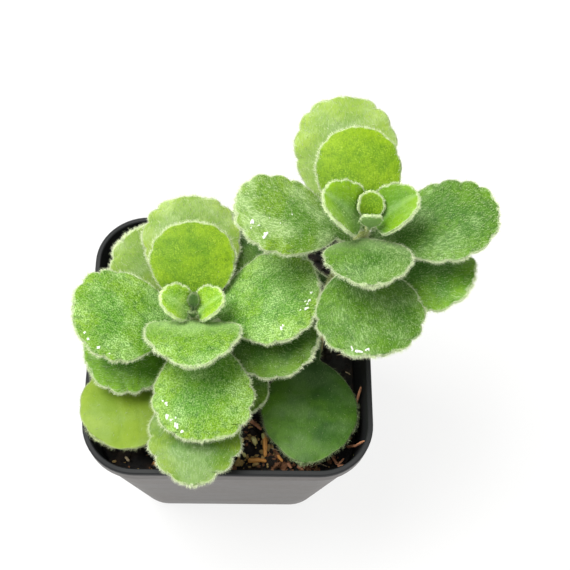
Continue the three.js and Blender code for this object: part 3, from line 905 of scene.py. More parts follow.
@dataclass
class Leaf:
    """One leaf.

    Attributes:
        name: its CAD node.
        stem: the shoot that it grows on.
        habit: its shape at its age.
        tone: its colours.
        height: the height of its node on the stem, in mm.
        heading: where it points, in degrees, with 0 to the right and 90 to the back.
        length: its length, in mm.
        width: its width, in mm.
        rise: its pitch at the stem, in degrees.
        droop: its pitch at the tip, in degrees.
        roll: its roll, in degrees.
        rows: how many rows its blade has.
        petiole_rows: how many rows its petiole has.
        columns: how many columns it has from flank to flank.
        margin_thickness: how thick it is at its margin, in mm.
        margin_round: how far its margin is rounded, in mm.
        outline_end: the share of the half turn of its outline at which it is cut off at the tip.
        root: how far its petiole runs on into the stem, in mm.
        clearance: how far the CAD petiole stays off the stem, in mm.
        wobble: how far its flanks stray from the even outline, in mm.
        undulation: how far its margin waves up and down, in mm.
        pucker: how far a scallop lifts, as a share of its push.
        crown_spread: how far a leaf of the crown stands off the stem's middle, in mm.
        fringe_band: how wide the band of margin hairs is, in mm.
    """

    name: str
    stem: Stem
    habit: Habit
    tone: LeafTone
    height: float
    heading: float
    length: float
    width: float
    rise: float
    droop: float
    roll: float
    rows: int = 84
    petiole_rows: int = 8
    columns: int = 20
    margin_thickness: float = 0.7
    margin_round: float = 0.2
    outline_end: float = 0.985
    root: float = 0.9
    clearance: float = 0.3
    wobble: float = 0.2
    undulation: float = 0.45
    pucker: float = 0.35
    crown_spread: float = 0.55
    fringe_band: float = 0.45

    def pattern(self) -> list[tuple[float, float, float, float, float, float]]:
        """The flat pattern of the leaf.

        Returns:
            For each row its place along the leaf and its half width in mm, the turn and the share of the
            blade that it lies at, and the outward way of the margin there, along the leaf and across it.
        """
        shape = self.habit.value
        petiole = shape.petiole * self.length
        peak_at = shape.base_taper / (shape.base_taper + shape.tip_taper)
        peak = peak_at**shape.base_taper * (1 - peak_at) ** shape.tip_taper
        drawn = []
        for row in range(self.petiole_rows):
            drawn.append((mix(-self.root, petiole, row / self.petiole_rows), shape.stalk, 0.0, 0.0))
        for row in range(self.rows + 1):
            turn = math.pi * self.outline_end * row / self.rows
            share = (1 - math.cos(turn)) / 2
            swell = share**shape.base_taper * (1 - share) ** shape.tip_taper / peak
            stalk = shape.stalk * math.sqrt(1 - share)
            half = (stalk**3 + (self.width / 2 * swell) ** 3) ** (1 / 3)
            drawn.append((petiole + (self.length - petiole) * share, half, turn, share))
        outlined = []
        for k, row in enumerate(drawn):
            before, after = drawn[max(k - 1, 0)], drawn[min(k + 1, len(drawn) - 1)]
            step_along, step_half = after[0] - before[0], after[1] - before[1]
            length = math.hypot(step_along, step_half)
            outlined.append((*row, -step_half / length, step_along / length))
        return outlined

    def scallop(self, turn: float, share: float, flank: float) -> float:
        """How far the scallops push the margin of one flank out at a place, in mm.

        Args:
            turn: where the place lies round the outline, in radians.
            share: its share of the blade's length.
            flank: the flank, -1 or 1.

        Returns:
            The push, less than 0 in a notch.
        """
        shape = self.habit.value
        stagger = noise.noise(Vector((self.heading + 7 * flank, self.length, turn * 1.6)))
        swing = noise.noise(Vector((self.length, self.heading - 5 * flank, turn * 2.5)))
        wave = abs(math.cos(shape.lobes * (math.pi - turn) + 1.1 * stagger)) ** 0.65 - 0.6
        return shape.lobe_depth * (1 + 0.6 * swing) * smooth_step((share - 0.3) / 0.25) * wave

    def axes(self, share: float) -> tuple[Vector, Vector, Vector]:
        """The ways of the leaf at a place.

        Args:
            share: the place's share of the leaf's length.

        Returns:
            The way the leaf points, its side and the way its upper face looks.
        """
        reach = min(max(share, 0.0), 1.0)
        pitch = math.radians(mix(self.rise, self.droop, reach))
        heading = math.radians(self.heading)
        roll = math.radians(self.roll) * smooth_step(reach / 0.35)
        level_part = math.cos(pitch)
        along = Vector((level_part * math.cos(heading), level_part * math.sin(heading), math.sin(pitch)))
        level = Vector((-math.sin(heading), math.cos(heading), 0))
        side = level * math.cos(roll) + along.cross(level) * math.sin(roll)
        return along, side, along.cross(side)

    def foot(self) -> Vector:
        """Where the leaf leaves its stem.

        Returns:
            The place, in mm.
        """
        point, radius = self.stem.at_height(self.height)
        heading = math.radians(self.heading)
        outward = Vector((math.cos(heading), math.sin(heading), 0))
        half_slab = self.habit.value.thickness / 2 * math.sin(math.radians(self.rise))
        if self.height > self.stem.path[-1][2]:
            point.z = self.height
            return point + outward * (self.crown_spread + half_slab)
        return point + outward * (radius * 1.1 + self.clearance + half_slab)

    def steps_across(self) -> np.ndarray:
        """Where the columns lie between -1 and 1, closer together towards the margins."""
        even = np.linspace(-1, 1, self.columns + 1)
        return even * 0.3 + np.sin(even * math.pi / 2) * 0.7

    def sheet(self) -> tuple[np.ndarray, np.ndarray, np.ndarray, np.ndarray]:
        """The middle surface of the blade.

        Returns:
            The points and their unit normals, by row and column, in mm, the share of the length of each row,
            and how far the scallops push each point.
        """
        shape = self.habit.value
        seed = Vector((self.heading, self.height, self.length))
        rows = self.pattern()
        steps = self.steps_across()
        midrib = self.foot() - self.axes(0.0)[0] * self.root
        before = rows[0][0]
        points = np.zeros((len(rows), self.columns + 1, 3))
        pushed = np.zeros((len(rows), self.columns + 1))
        shares = np.zeros(len(rows))
        for r, (place, half, turn, share, out_along, out_across) in enumerate(rows):
            midrib = midrib + self.axes((place + before) / 2 / self.length)[0] * (place - before)
            before = place
            along, side, upper = self.axes(place / self.length)
            shares[r] = place / self.length
            grown = smooth_step(shares[r] * 2.0)
            pushes = {flank: self.scallop(turn, share, flank) for flank in (-1.0, 1.0)}
            for c, across in enumerate(steps):
                edge = across * across
                flank = math.copysign(1.0, across)
                drift = noise.noise(seed + Vector((shares[r] * 4.0, across * 0.8, 0))) * self.wobble * grown
                push = pushed[r, c] = pushes[flank] * edge
                reach = across * half + flank * (push * out_across + edge * drift)
                bend = math.radians(shape.cup) * reach / (self.width / 2)
                flat = math.sin(bend) / bend if abs(bend) > 1e-6 else 1.0
                lift = (1 - math.cos(bend)) / bend if abs(bend) > 1e-6 else 0.0
                wave = noise.noise(seed + Vector((place * 0.16, across * half * 0.16, 3.0)))
                rise = lift * reach + wave * self.undulation * grown * edge + push * edge * self.pucker
                groove = shape.groove * math.exp(-((across * 3.5) ** 2))
                rise -= groove * smooth_step(shares[r] * 4) * (1 - shares[r])
                points[r, c] = midrib + along * (push * out_along) + side * (flat * reach) + upper * rise
        normals = np.cross(np.gradient(points, axis=0), np.gradient(points, axis=1))
        normals /= np.linalg.norm(normals, axis=2, keepdims=True)
        return points, normals, shares, pushed

    def spot(self, share: float, across: float) -> tuple[Vector, Vector, Vector]:
        """A spot on the upper face, in mm, with the way up and the way to the tip there.

        Args:
            share: its share of the leaf's length.
            across: where it lies from flank to flank, from -1 to 1.

        Returns:
            The spot, the normal and the direction.
        """
        points, normals, shares, _ = self.sheet()
        r = int(np.abs(shares - share).argmin())
        steps = self.steps_across()
        middle = Vector([np.interp(across, steps, points[r, :, axis]) for axis in range(3)])
        normal = Vector([np.interp(across, steps, normals[r, :, axis]) for axis in range(3)]).normalized()
        half = mix(self.habit.value.thickness, self.margin_thickness, across * across) / 2
        return middle + normal * half, normal, self.axes(share)[0]

    def build(self, down: HairGrower, fringe: HairGrower) -> None:
        """Makes the blade with its rounded margin, its down and the fringe of its margin.

        Args:
            down: grows the hairs of its faces.
            fringe: grows the hairs of its margin.
        """
        shape = self.habit.value
        finish = self.tone.value
        points, normals, shares, pushed = self.sheet()
        steps = self.steps_across()
        count = points.shape[0] - 1
        outline = np.concatenate([points[:, 0], points[:, -1], points[-1]])
        insets = np.linalg.norm(points[:, :, None] - outline[None, None], axis=3).min(axis=2)
        size = min(1.0, 0.25 + self.width / 28)
        margin = min(1.0, 0.35 + 0.3 * finish.down)
        blade = bmesh.new()
        bmesh.ops.create_grid(blade, x_segments=self.columns, y_segments=count, size=1.0)
        place, flat, down_layer, fringe_layer, lean = (
            blade.verts.layers.float_vector.new(name) for name in ("place", "flat", "down", "fringe", "lean")
        )
        for vertex in blade.verts:
            vertex[place] = (vertex.co.x, (vertex.co.y + 1) / 2, 0.0)
        raised = bmesh.ops.extrude_face_region(blade, geom=blade.faces[:], use_keep_orig=True)["geom"]
        for item in raised:
            if isinstance(item, bmesh.types.BMVert):
                item[place][2] = 1.0
        spots = {}
        for vertex in blade.verts:
            u, v, top = vertex[place]
            r, c = round(v * count), round((u + 1) / 2 * self.columns)
            spots[vertex] = (r, c, top > 0.5)
            across, share, inset = steps[c], shares[r], max(insets[r, c], 0.02)
            half = mix(shape.thickness, self.margin_thickness, across * across) / 2
            normal = Vector(normals[r, c])
            upright = normal if top else -normal
            vertex.co = (Vector(points[r, c]) + upright * half) * MM
            along, side, _ = self.axes(share)
            outward = side * (across * smooth_step((1 - share) * 3))
            outward += along * smooth_step((share - 0.6) * 2.5)
            rim = max(0.0, 1.0 - inset / self.fringe_band)
            stand = upright * mix(0.5, 0.25, rim) + outward * mix(0.3, 1.2, rim) + along * 0.5
            vertex[lean] = stand.normalized()
            vertex[down_layer] = (finish.down * (1.0 if top else 0.5), DOWN_LENGTH * size, 0.0)
            vertex[fringe_layer] = (FRINGE_DENSITY * math.sqrt(rim) * margin, FRINGE_LENGTH * size, 0.0)
            vertex[place] = (across, share, inset if top else -inset)
            vertex[flat] = (across * self.width / 2, share * self.length, pushed[r, c])
        rim_edges = [edge for edge in blade.edges if self._is_rim(*(spots[end] for end in edge.verts), count)]
        bmesh.ops.bevel(
            blade,
            geom=rim_edges,
            offset=self.margin_round * MM,
            segments=2,
            profile=0.5,
            affect="EDGES",
            material=-1,
            clamp_overlap=True,
        )
        piece = finish_piece(blade, f"{self.name}_blade", finish.material(), [self.name])
        seed = int(self.height * 10 + self.heading)
        down.grow(piece, seed, finish.hair_material(), finish.slot)
        margin_hair = plain_material(f"{finish.name}_margin_hair", finish.rim, 0.5)
        fringe.grow(piece, seed + 1, margin_hair, finish.slot)

    def _is_rim(self, first: tuple[int, int, bool], second: tuple[int, int, bool], last_row: int) -> bool:
        """Whether an edge runs along the margin of one face of the blade.

        Args:
            first: the row and column of its first end, and whether it lies on the upper face.
            second: the same of its second end.
            last_row: the row of the tip.

        Returns:
            Whether it does.
        """
        if first[2] != second[2]:
            return False
        at_side = first[1] == second[1] and first[1] in (0, self.columns)
        return at_side or first[0] == second[0] == last_row


@dataclass
class Pot:
    """The square pot, with a band below its lip.

    Attributes:
        height: its height, in mm.
        rim: the side and corner radius at the lip.
        base: the side and corner radius at the foot.
        wall: its wall's thickness.
        band: the height of the band, and how far it stands out.
        lip: how thick the lip is.
        dust_and_reflection_gap: how far below the lip the dust and painted reflection of the outer wall end.
        floor: how thick the floor is.
        corner_steps: how many steps each corner has.
        drain_radius: the radius of a drain hole.
        drain_reach: how far a drain hole lies from the middle, to the side and to the back.
    """

    height: float = POT_HEIGHT
    rim: tuple[float, float] = (70.0, 13.2)
    base: tuple[float, float] = (51.3, 9.0)
    wall: float = 1.0
    band: tuple[float, float] = (4.8, 0.8)
    lip: float = 1.3
    dust_and_reflection_gap: float = 1.4
    floor: float = 1.4
    corner_steps: int = 14
    drain_radius: float = 3.0
    drain_reach: float = 15.0

    def wall_at(self, z: float) -> tuple[float, float]:
        """The tapering wall at a height.

        Args:
            z: the height, in mm.

        Returns:
            The outer side and corner radius, in mm.
        """
        share = z / (self.height - self.band[0])
        return (
            mix(self.base[0], self.rim[0] - 2 * self.band[1], share),
            mix(self.base[1], self.rim[1] - self.band[1], share),
        )

    def inside_at(self, z: float, gap: float = 0.0) -> tuple[float, float]:
        """The side and corner radius of the pot's inside at a height, less a gap."""
        side, corner = self.wall_at(z)
        return side - 2 * (self.wall + gap), corner - self.wall - gap

    def profile(self) -> list[tuple[float, float, float]]:
        """The rings of the shell, from the underside round the lip to the floor.

        Returns:
            The side, corner radius and height of each, in mm.
        """
        foot = self.height - self.band[0]
        side, corner = self.rim
        rings = [(self.base[0] - 2.4, self.base[1] - 1.2, 0.0)]
        rings += [(self.base[0] - 0.6, self.base[1] - 0.3, 0.15), (*self.wall_at(1.0), 1.0)]
        rings += [(*self.wall_at(foot * k / 6), foot * k / 6) for k in range(1, 6)]
        rings += [(*self.wall_at(foot - 0.25), foot - 0.25), (*self.wall_at(foot), foot)]
        rings += [(side - 0.9, corner, foot + 0.02), (side - 0.45, corner, foot + 0.25)]
        rings += [(side - 0.4, corner, foot + 0.8)]
        rings += [(side - 0.1, corner, self.height - 1.5), (side - 0.05, corner, self.height - 1.2)]
        rings += [(side, corner, self.height - 0.5), (side - 0.1, corner, self.height - 0.2)]
        rings += [(side - 0.5, corner - 0.2, self.height)]
        rings += [(side - 2 * self.lip + 0.4, corner - self.lip, self.height)]
        rings += [(side - 2 * self.lip, corner - self.lip, self.height - 0.2)]
        rings += [(*self.inside_at(z), z) for z in (foot - self.wall, 40.0, 20.0, self.floor + 0.8)]
        inner = self.inside_at(self.floor)
        return rings + [(inner[0] - 1.0, inner[1] - 0.5, self.floor)]

    def build(self, finish: PotFinish) -> None:
        """Makes the pot and drills its drain holes.

        Args:
            finish: its plastic.
        """
        rings = []
        for side, corner, z in self.profile():
            rings.append([Vector((x, y, z)) * MM for x, y in rounded_square(side, corner, self.corner_steps)])
        raw = add_object("pot_shell_raw", mesh_from(sweep_rings(rings), "pot_shell_raw"))
        drills = bmesh.new()
        for x, y in ((1, 1), (-1, 1), (-1, -1), (1, -1)):
            spot = Matrix.Translation(Vector((x * self.drain_reach, y * self.drain_reach, 0)) * MM)
            radius = self.drain_radius * MM
            bmesh.ops.create_cone(
                drills, cap_ends=True, segments=32, radius1=radius, radius2=radius, depth=8 * MM, matrix=spot
            )
        cutter = add_object("drills", mesh_from(drills, "drills"))
        cut = raw.modifiers.new("drain", "BOOLEAN")
        cut.operation, cut.object, cut.solver = "DIFFERENCE", cutter, "EXACT"
        graph = bpy.context.evaluated_depsgraph_get()
        mesh = bpy.data.meshes.new_from_object(raw.evaluated_get(graph))
        bpy.data.objects.remove(raw)
        bpy.data.objects.remove(cutter)
        top = (self.height - self.dust_and_reflection_gap) * MM
        outer = mesh.attributes.new("outer", "FLOAT", "POINT")
        outer.data.foreach_set("value", [float(v.co.z < top and v.normal.z < -0.02) for v in mesh.vertices])
        piece = finish_piece(mesh, "pot_shell", finish.material(), ["pot"])
        piece.data.set_sharp_from_angle(angle=math.radians(35))


@dataclass
class Soil:
    """The soil in the pot, and the loose bits on it.

    Attributes:
        pot: the pot that holds it.
        stems: the stems that stand in it.
        level: the height of its surface, in mm.
        relief: the height of its mounds, in mm.
        edge_dip: how far it falls towards the walls, in mm.
        gap: how far it stays off the pot, in mm.
        cells: how many cells its surface has along a side.
        hollow: how deep it dips round a stem, and how far from the stem the dip ends, in mm.
    """

    pot: Pot
    stems: Sequence[Stem]
    level: float = 44.6
    relief: float = 0.9
    edge_dip: float = 0.6
    gap: float = 0.3
    cells: int = 120
    hollow: tuple[float, float] = (1.5, 0.8)

    def height(self, x: float, y: float) -> float:
        """The height of the soil's mounds at a place, in mm."""
        broad = math.sin(0.21 * x + 0.6) * math.cos(0.17 * y - 0.4)
        return self.level + self.relief * (broad + math.sin(0.43 * x - 0.37 * y) / 2)

    def on_ring(self, u: float, v: float, side: float, corner: float) -> tuple[float, float]:
        """Takes a place in a square from -1 to 1 to its place in a rounded square.

        Args:
            u: the place from left to right.
            v: the place from front to back.
            side: the rounded square's side.
            corner: its corner radius.

        Returns:
            The place, in the side's units.
        """
        ring = max(abs(u), abs(v))
        if ring < 1e-9:
            return 0.0, 0.0
        half = side / 2
        reach = half - corner
        x, y = abs(u) / ring * half, abs(v) / ring * half
        if x > reach and y > reach:
            a, b = (x - reach) / corner, (y - reach) / corner
            angle = b * math.pi / 4 if a >= b else math.pi / 2 - a * math.pi / 4
            x, y = reach + corner * math.cos(angle), reach + corner * math.sin(angle)
        return math.copysign(x * ring, u), math.copysign(y * ring, v)

    def build(self, finish: SoilFinish) -> None:
        """Makes the body of soil, with its rough surface.

        Args:
            finish: its peat.
        """
        top = self.pot.inside_at(self.level - self.edge_dip, self.gap)
        floor = self.pot.floor + self.gap
        foot = self.pot.inside_at(floor, self.gap)
        soil = bmesh.new()
        bmesh.ops.create_grid(soil, x_segments=self.cells, y_segments=self.cells, size=1.0)
        square = {vertex: (vertex.co.x, vertex.co.y) for vertex in soil.verts}
        border = [edge for edge in soil.edges if edge.is_boundary]
        made = bmesh.ops.extrude_edge_only(soil, edges=border)["geom"]
        for vertex in made:
            if isinstance(vertex, bmesh.types.BMVert):
                x, y = self.on_ring(vertex.co.x, vertex.co.y, *foot)
                vertex.co = Vector((x, y, floor)) * MM
        foot_edges = [item for item in made if isinstance(item, bmesh.types.BMEdge)]
        bmesh.ops.contextual_create(soil, geom=foot_edges)
        for vertex, (u, v) in square.items():
            x, y = self.on_ring(u, v, *top)
            rim = smooth_step((max(abs(u), abs(v)) - 0.86) / 0.14)
            here = Vector((x, y, 0.0))
            rough = noise.noise(here * 0.55) * 0.55 + noise.noise(here * 1.5) * 0.35
            z = mix(self.height(x, y) + rough, self.level - self.edge_dip, rim)
            for stem in self.stems:
                away = math.hypot(x - stem.path[0][0], y - stem.path[0][1])
                z -= self.hollow[0] * (1 - smooth_step((away - stem.radius[0]) / self.hollow[1]))
            vertex.co = Vector((x, y, z)) * MM
        finish_piece(soil, "soil_body", finish.material(), ["soil"])

    def scatter(
        self,
        grit: Grit,
        name: str,
        count: int,
        sizes: tuple[float, float],
        seed: int,
        reach: Callable[[float, float], bool],
    ) -> None:
        """Scatters crumbs over the soil, each an uneven little ball sunk into it.

        Args:
            grit: their colour.
            name: the piece's name.
            count: how many there are.
            sizes: their smallest and largest radius, in mm.
            seed: where the random draws start.
            reach: whether a crumb lies at a place.
        """
        draw = random.Random(seed)
        crumbs = bmesh.new()
        placed = 0
        side = self.pot.inside_at(self.level, self.gap)[0] / 2
        while placed < count:
            u, v = draw.uniform(-1, 1), draw.uniform(-1, 1)
            x, y = self.on_ring(u, v, 2 * side - 2 * sizes[1], 10.0)
            size = mix(*sizes, draw.random() ** 2)
            turn = Matrix.Rotation(draw.uniform(0, math.tau), 4, (draw.random(), draw.random(), 0.3))
            stretch = Matrix.Diagonal((*(draw.uniform(*span) for span in CRUMB_SPANS), 1))
            if not reach(x, y):
                continue
            placed += 1
            lift = Matrix.Translation(Vector((x, y, self.height(x, y) + size * draw.uniform(0.0, 0.5))) * MM)
            made = bmesh.ops.create_icosphere(
                crumbs, subdivisions=1, radius=size * MM, matrix=lift @ turn @ stretch
            )["verts"]
            for vertex in made:
                vertex.co += Vector([draw.uniform(-0.22, 0.22) for _ in range(3)]) * size * MM
        finish_piece(crumbs, name, grit.material(), smooth=False)

    def lay_sticks(
        self,
        grit: Grit,
        name: str,
        sticks: Sequence[tuple[Sequence[Point], float]],
        seed: int,
    ) -> None:
        """Lays thin sticks, splinters or fibres.

        Args:
            grit: their colour.
            name: the piece's name.
            sticks: for each its path, with heights from the soil's level, and its radius, in mm.
            seed: where the random draws start.
        """
        draw = random.Random(seed)
        joined = bmesh.new()
        for path, radius in sticks:
            middle = [Vector((x, y, self.level + z)) for x, y, z in path]
            fine = []
            for a, b in zip(middle, middle[1:]):
                fine += [a.lerp(b, k / 5) for k in range(5)]
            fine.append(middle[-1])
            rings = []
            for k, here in enumerate(fine):
                ahead = (fine[min(k + 1, len(fine) - 1)] - fine[max(k - 1, 0)]).normalized()
                side = ahead.cross(Vector((0, 0, 1)))
                side = side.normalized() if side.length > 1e-3 else Vector((1, 0, 0))
                over = ahead.cross(side)
                wide = radius * (1 - 0.35 * k / len(fine)) * draw.uniform(0.85, 1.1)
                if k in (0, len(fine) - 1):
                    wide *= 0.6
                ring = []
                for s in range(7):
                    angle = math.tau * s / 7
                    bump = wide * draw.uniform(0.9, 1.1)
                    spot = here + side * (bump * math.cos(angle)) + over * (bump * math.sin(angle))
                    ring.append(spot * MM)
                rings.append(ring)
            data = mesh_from(sweep_rings(rings), "part")
            joined.from_mesh(data)
            bpy.data.meshes.remove(data)
        finish_piece(joined, name, grit.material(), smooth=False)


@dataclass
class Studio:
    """The floor, the light and the camera.

    Attributes:
        elevation: the camera's height above the pot's lip, in degrees.
        azimuth: how far it stands to the right, in degrees.
        distance: how far it is from the middle of the lip, in mm.
        lens: its lens on a sensor 36 mm wide, in mm.
        aim: where the middle of the lip lies in the picture, in shares of the half picture from its middle.
        roll: how far it is tilted, in degrees.
        sensor: the width of its sensor, in mm.
        key: the place of the main light, its side and its power, in metres and watts, and its colour.
        fill: the same of the light that fills the shadows.
        sky: how bright the white round the stage is.
        glow: how bright the floor is of its own.
    """

    elevation: float = 65.4
    azimuth: float = 1.8
    distance: float = 282.0
    lens: float = 71.28
    aim: tuple[float, float] = (-55.5 / 285, 53.6 / 285)
    roll: float = 0.8
    sensor: float = 36.0
    key: tuple[Point, float, float, Colour] = ((-0.3, 0.1, 0.75), 0.5, 9.0, (1, 1, 0.97))
    fill: tuple[Point, float, float, Colour] = ((0.35, -0.55, 0.6), 0.6, 2.0, (1, 1, 1))
    sky: float = 0.5
    glow: float = 0.8

    def camera(self) -> None:
        """Places the camera."""
        e, a = math.radians(self.elevation), math.radians(self.azimuth)
        target = Vector((0, 0, POT_HEIGHT))
        back = Vector((math.sin(a) * math.cos(e), -math.cos(a) * math.cos(e), math.sin(e)))
        forward = -back
        right = forward.cross(Vector((0, 0, 1))).normalized()
        up = right.cross(forward)
        half = self.sensor / 2 / self.lens
        yaw = math.atan(self.aim[0] * half)
        pitch = math.atan(self.aim[1] * half * math.cos(yaw))
        turn = Matrix.Rotation(yaw, 3, up)
        forward, right = turn @ forward, turn @ right
        turn = Matrix.Rotation(pitch, 3, right)
        forward, up = turn @ forward, turn @ up
        turn = Matrix.Rotation(math.radians(self.roll), 3, forward)
        right, up = turn @ right, turn @ up
        data = bpy.data.cameras.new("camera")
        data.lens, data.sensor_width = self.lens, self.sensor
        data.clip_start, data.clip_end = 0.01, 20.0
        camera = add_object("camera", data)
        axes = Matrix((right, up, -forward)).transposed()
        camera.matrix_world = Matrix.Translation((target + back * self.distance) * MM) @ axes.to_4x4()
        bpy.context.scene.camera = camera

    def light(self, name: str, place: Point, size: float, power: float, colour: Colour) -> None:
        """Hangs a soft square light that faces the plant.

        Args:
            name: its name.
            place: where it hangs, in metres.
            size: its side, in metres.
            power: its power, in watts.
            colour: its colour.
        """
        data = bpy.data.lights.new(name, "AREA")
        data.size, data.energy, data.color = size, power, colour
        lamp = add_object(name, data)
        lamp.location = place
        aim = Vector((0, 0, 0.06)) - Vector(place)
        lamp.rotation_euler = aim.to_track_quat("-Z", "Y").to_euler()

    def floor(self) -> None:
        """Lays the plain pale floor."""
        sheet = bmesh.new()
        bmesh.ops.create_grid(sheet, x_segments=1, y_segments=1, size=4.0)
        bmesh.ops.translate(sheet, verts=sheet.verts[:], vec=(0, 0, -0.0005))
        material, _, shader = new_material("pale_floor")
        set_values(shader, {
            "Base Color": (0.16, 0.16, 0.16, 1),
            "Roughness": 0.9,
            "Emission Color": (1.0, 1.0, 0.995, 1),
            "Emission Strength": self.glow,
        })
        data = mesh_from(sheet, "floor")
        data.materials.append(material)
        piece = add_object("floor", data)

    def build(self) -> None:
        """Sets up the whole stage."""
        world = bpy.data.worlds.new("studio")
        world.use_nodes = True
        set_values(world.node_tree.nodes["Background"], {"Color": (1, 1, 1, 1), "Strength": self.sky})
        bpy.context.scene.world = world
        bpy.context.scene.view_settings.view_transform = "Standard"
        self.light("key", *self.key)
        self.light("fill", *self.fill)
        self.floor()
        self.camera()


def shoots() -> dict[str, Stem]:
    """The two shoots.

    Returns:
        The stem of each, by its side.
    """
    left = ((-7.6, 0.6, 43.5), (-7.2, 1.0, 56.0), (-7.8, -0.5, 68.0), (-8.4, -2.6, 75.0))
    right = ((22.3, 3.6, 43.5), (23.3, 8.5, 56.0), (26.0, 12.0, 70.0), (29.4, 11.6, 86.0), (30.9, 9.9, 96.2))
    return {"left": Stem("left_stem", (1.6, 1.05), left), "right": Stem("right_stem", (1.7, 1.05), right)}


def foliage(stems: dict[str, Stem]) -> list[Leaf]:
    """Every leaf as it grows.

    Args:
        stems: the two shoots.

    Returns:
        The leaves.
    """
    # After its habit and tone each leaf has the height of its node, its heading, length and width, its pitch
    # at the stem and at the tip, and its roll, in mm and degrees. They started from a scratch program's fit to
    # outlines read off the photograph, and were then rounded and changed by eye.
    table = {
        "left": (
            ("0_back", "BUD", "SHADED", 77.2, 88, 3.6, 2.8, 62, 40, 0),
            ("0_front", "BUD", "SHADED", 77.2, -92, 2.6, 2.3, 82, 70, 0),
            ("1_left", "YOUNG", "YOUNG", 75.6, 165, 9.1, 8.7, 66, 20, 0),
            ("1_right", "YOUNG", "YOUNG", 75.6, 15, 8.7, 8.4, 66, 20, 0),
            ("2_back", "ROUND", "LIME", 72, 94, 21, 20, 40, 13, 0),
            ("2_front", "ARCHED", "ARCH", 72.9, -90, 17.2, 22, 61, -5, 0),
            ("3_left", "MATURE", "FRESH", 68.5, 187, 28, 24, 35, 7, 3),
            ("3_right", "MATURE", "FRESH", 68.5, 7, 29.3, 24, 42, 7, -3),
            ("4_back", "MATURE", "PALE", 65, 96, 29, 23.5, 40, 12, 3),
            ("4_front", "MATURE", "FRESH", 65, -85, 29.5, 23, 28, -18, 0),
            ("5_left", "MATURE", "DARK", 60, 204, 27.3, 22, 28, -10, 4),
            ("5_right", "MATURE", "DEEP", 60.4, -16, 29.5, 22.3, 40, 5, 0),
            ("6_back", "MATURE", "PALE", 56, 132, 29, 21, 45, 20, 0),
            ("6_front", "POINTED", "SOFT", 55.5, -91, 39.5, 21.5, 28, -8, 0),
            ("7_left", "SHADED", "SMOOTH", 52, 229, 35.7, 22.5, 28, -8, 0),
            ("7_right", "SHADED", "DEEP", 50.5, -54, 21.5, 15, 20, -4, 0),
        ),
        "right": (
            ("0_back", "BUD", "LIME", 97.4, 88, 6.4, 6.1, 60, 30, 0),
            ("0_front", "BUD", "FRESH", 97.6, -92, 5, 4.9, 82, 92, 0),
            ("1_left", "YOUNG", "CREST", 95.1, 163, 13.4, 12.4, 64, 22, 0),
            ("1_right", "YOUNG", "CREST", 95.1, 18, 12.9, 11.2, 64, 22, 0),
            ("2_back", "ROUND", "LIME", 90.5, 95, 22.8, 19.5, 40, 13, 0),
            ("2_front", "DRAPED", "MISTY", 91.3, -89, 17.8, 19.6, 58, -8, 0),
            ("3_left", "MATURE", "HOARY", 86.5, 172, 28.5, 20.5, 38, 1, 3),
            ("3_right", "MATURE", "MID", 86.5, 4, 30.6, 21, 36, 6, -3),
            ("4_back", "MATURE", "PALE", 81.5, 95, 34, 24, 42, 15, 0),
            ("4_front", "MATURE", "MID", 81, -80, 28, 24.5, 35, -20, 0),
            ("5_left", "SHADED", "DEEP", 65, 152, 30, 22, 22, -10, 0),
            ("5_right", "MATURE", "DARK", 74, -20, 31, 21, 40, 5, -3),
            ("6_front", "TAPERING", "SHADED", 48, -97, 35.3, 24, 22, -5, 0),
        ),
    }
    leaves = []
    for side, rows in table.items():
        for name, habit, tone, *sizes in rows:
            full_name = f"{side}_shoot_leaf_{name}"
            leaves.append(Leaf(full_name, stems[side], Habit[habit], LeafTone[tone], *sizes))
            stems[side].joints.append(sizes[0])
    return leaves


# The larger specks of residue: the share of the leaf's length, the place from flank to flank, and the half
# sizes in mm. A scratch program worked the places out from where the specks lie in the photograph.
RESIDUE = {
    "right_shoot_leaf_3_left": (
        (0.854, 0.55, 0.75, 0.42), (0.733, 0.68, 0.8, 0.5), (0.794, 0.55, 0.16, 0.3),
        (0.547, 0.03, 0.25, 0.15), (0.846, 0.7, 0.25, 0.15), (0.749, 0.78, 0.4, 0.25),
        (0.722, 0.28, 0.15, 0.15), (0.628, 0.33, 0.15, 0.15),
    ),
    "left_shoot_leaf_3_right": (
        (0.884, -0.6, 0.35, 0.5), (0.891, -0.5, 0.25, 0.25), (0.938, -0.27, 0.25, 0.3),
        (0.887, -0.42, 0.2, 0.25), (0.661, -0.75, 0.5, 0.3), (0.678, -0.7, 0.25, 0.25),
        (0.912, -0.47, 0.3, 0.45), (0.833, -0.55, 0.2, 0.2),
    ),
    "left_shoot_leaf_4_front": (
        (0.661, -0.78, 0.25, 0.3), (0.701, -0.72, 0.35, 0.45), (0.794, -0.8, 0.55, 0.65),
        (0.818, -0.62, 0.18, 0.22), (0.875, -0.68, 0.5, 0.7), (0.923, -0.68, 0.45, 0.45),
        (0.823, -0.72, 0.35, 0.3), (0.364, -0.12, 0.12, 0.12),
    ),
    "left_shoot_leaf_3_left": (
        (0.895, 0.78, 0.35, 0.3), (0.813, 0.83, 0.35, 0.45), (0.722, 0.88, 0.18, 0.22),
        (0.923, 0.7, 0.3, 0.3),
    ),
    "right_shoot_leaf_4_front": (
        (0.92, -0.7, 0.25, 0.55), (0.949, -0.6, 0.8, 0.5), (0.941, -0.35, 0.5, 0.35),
    ),
}


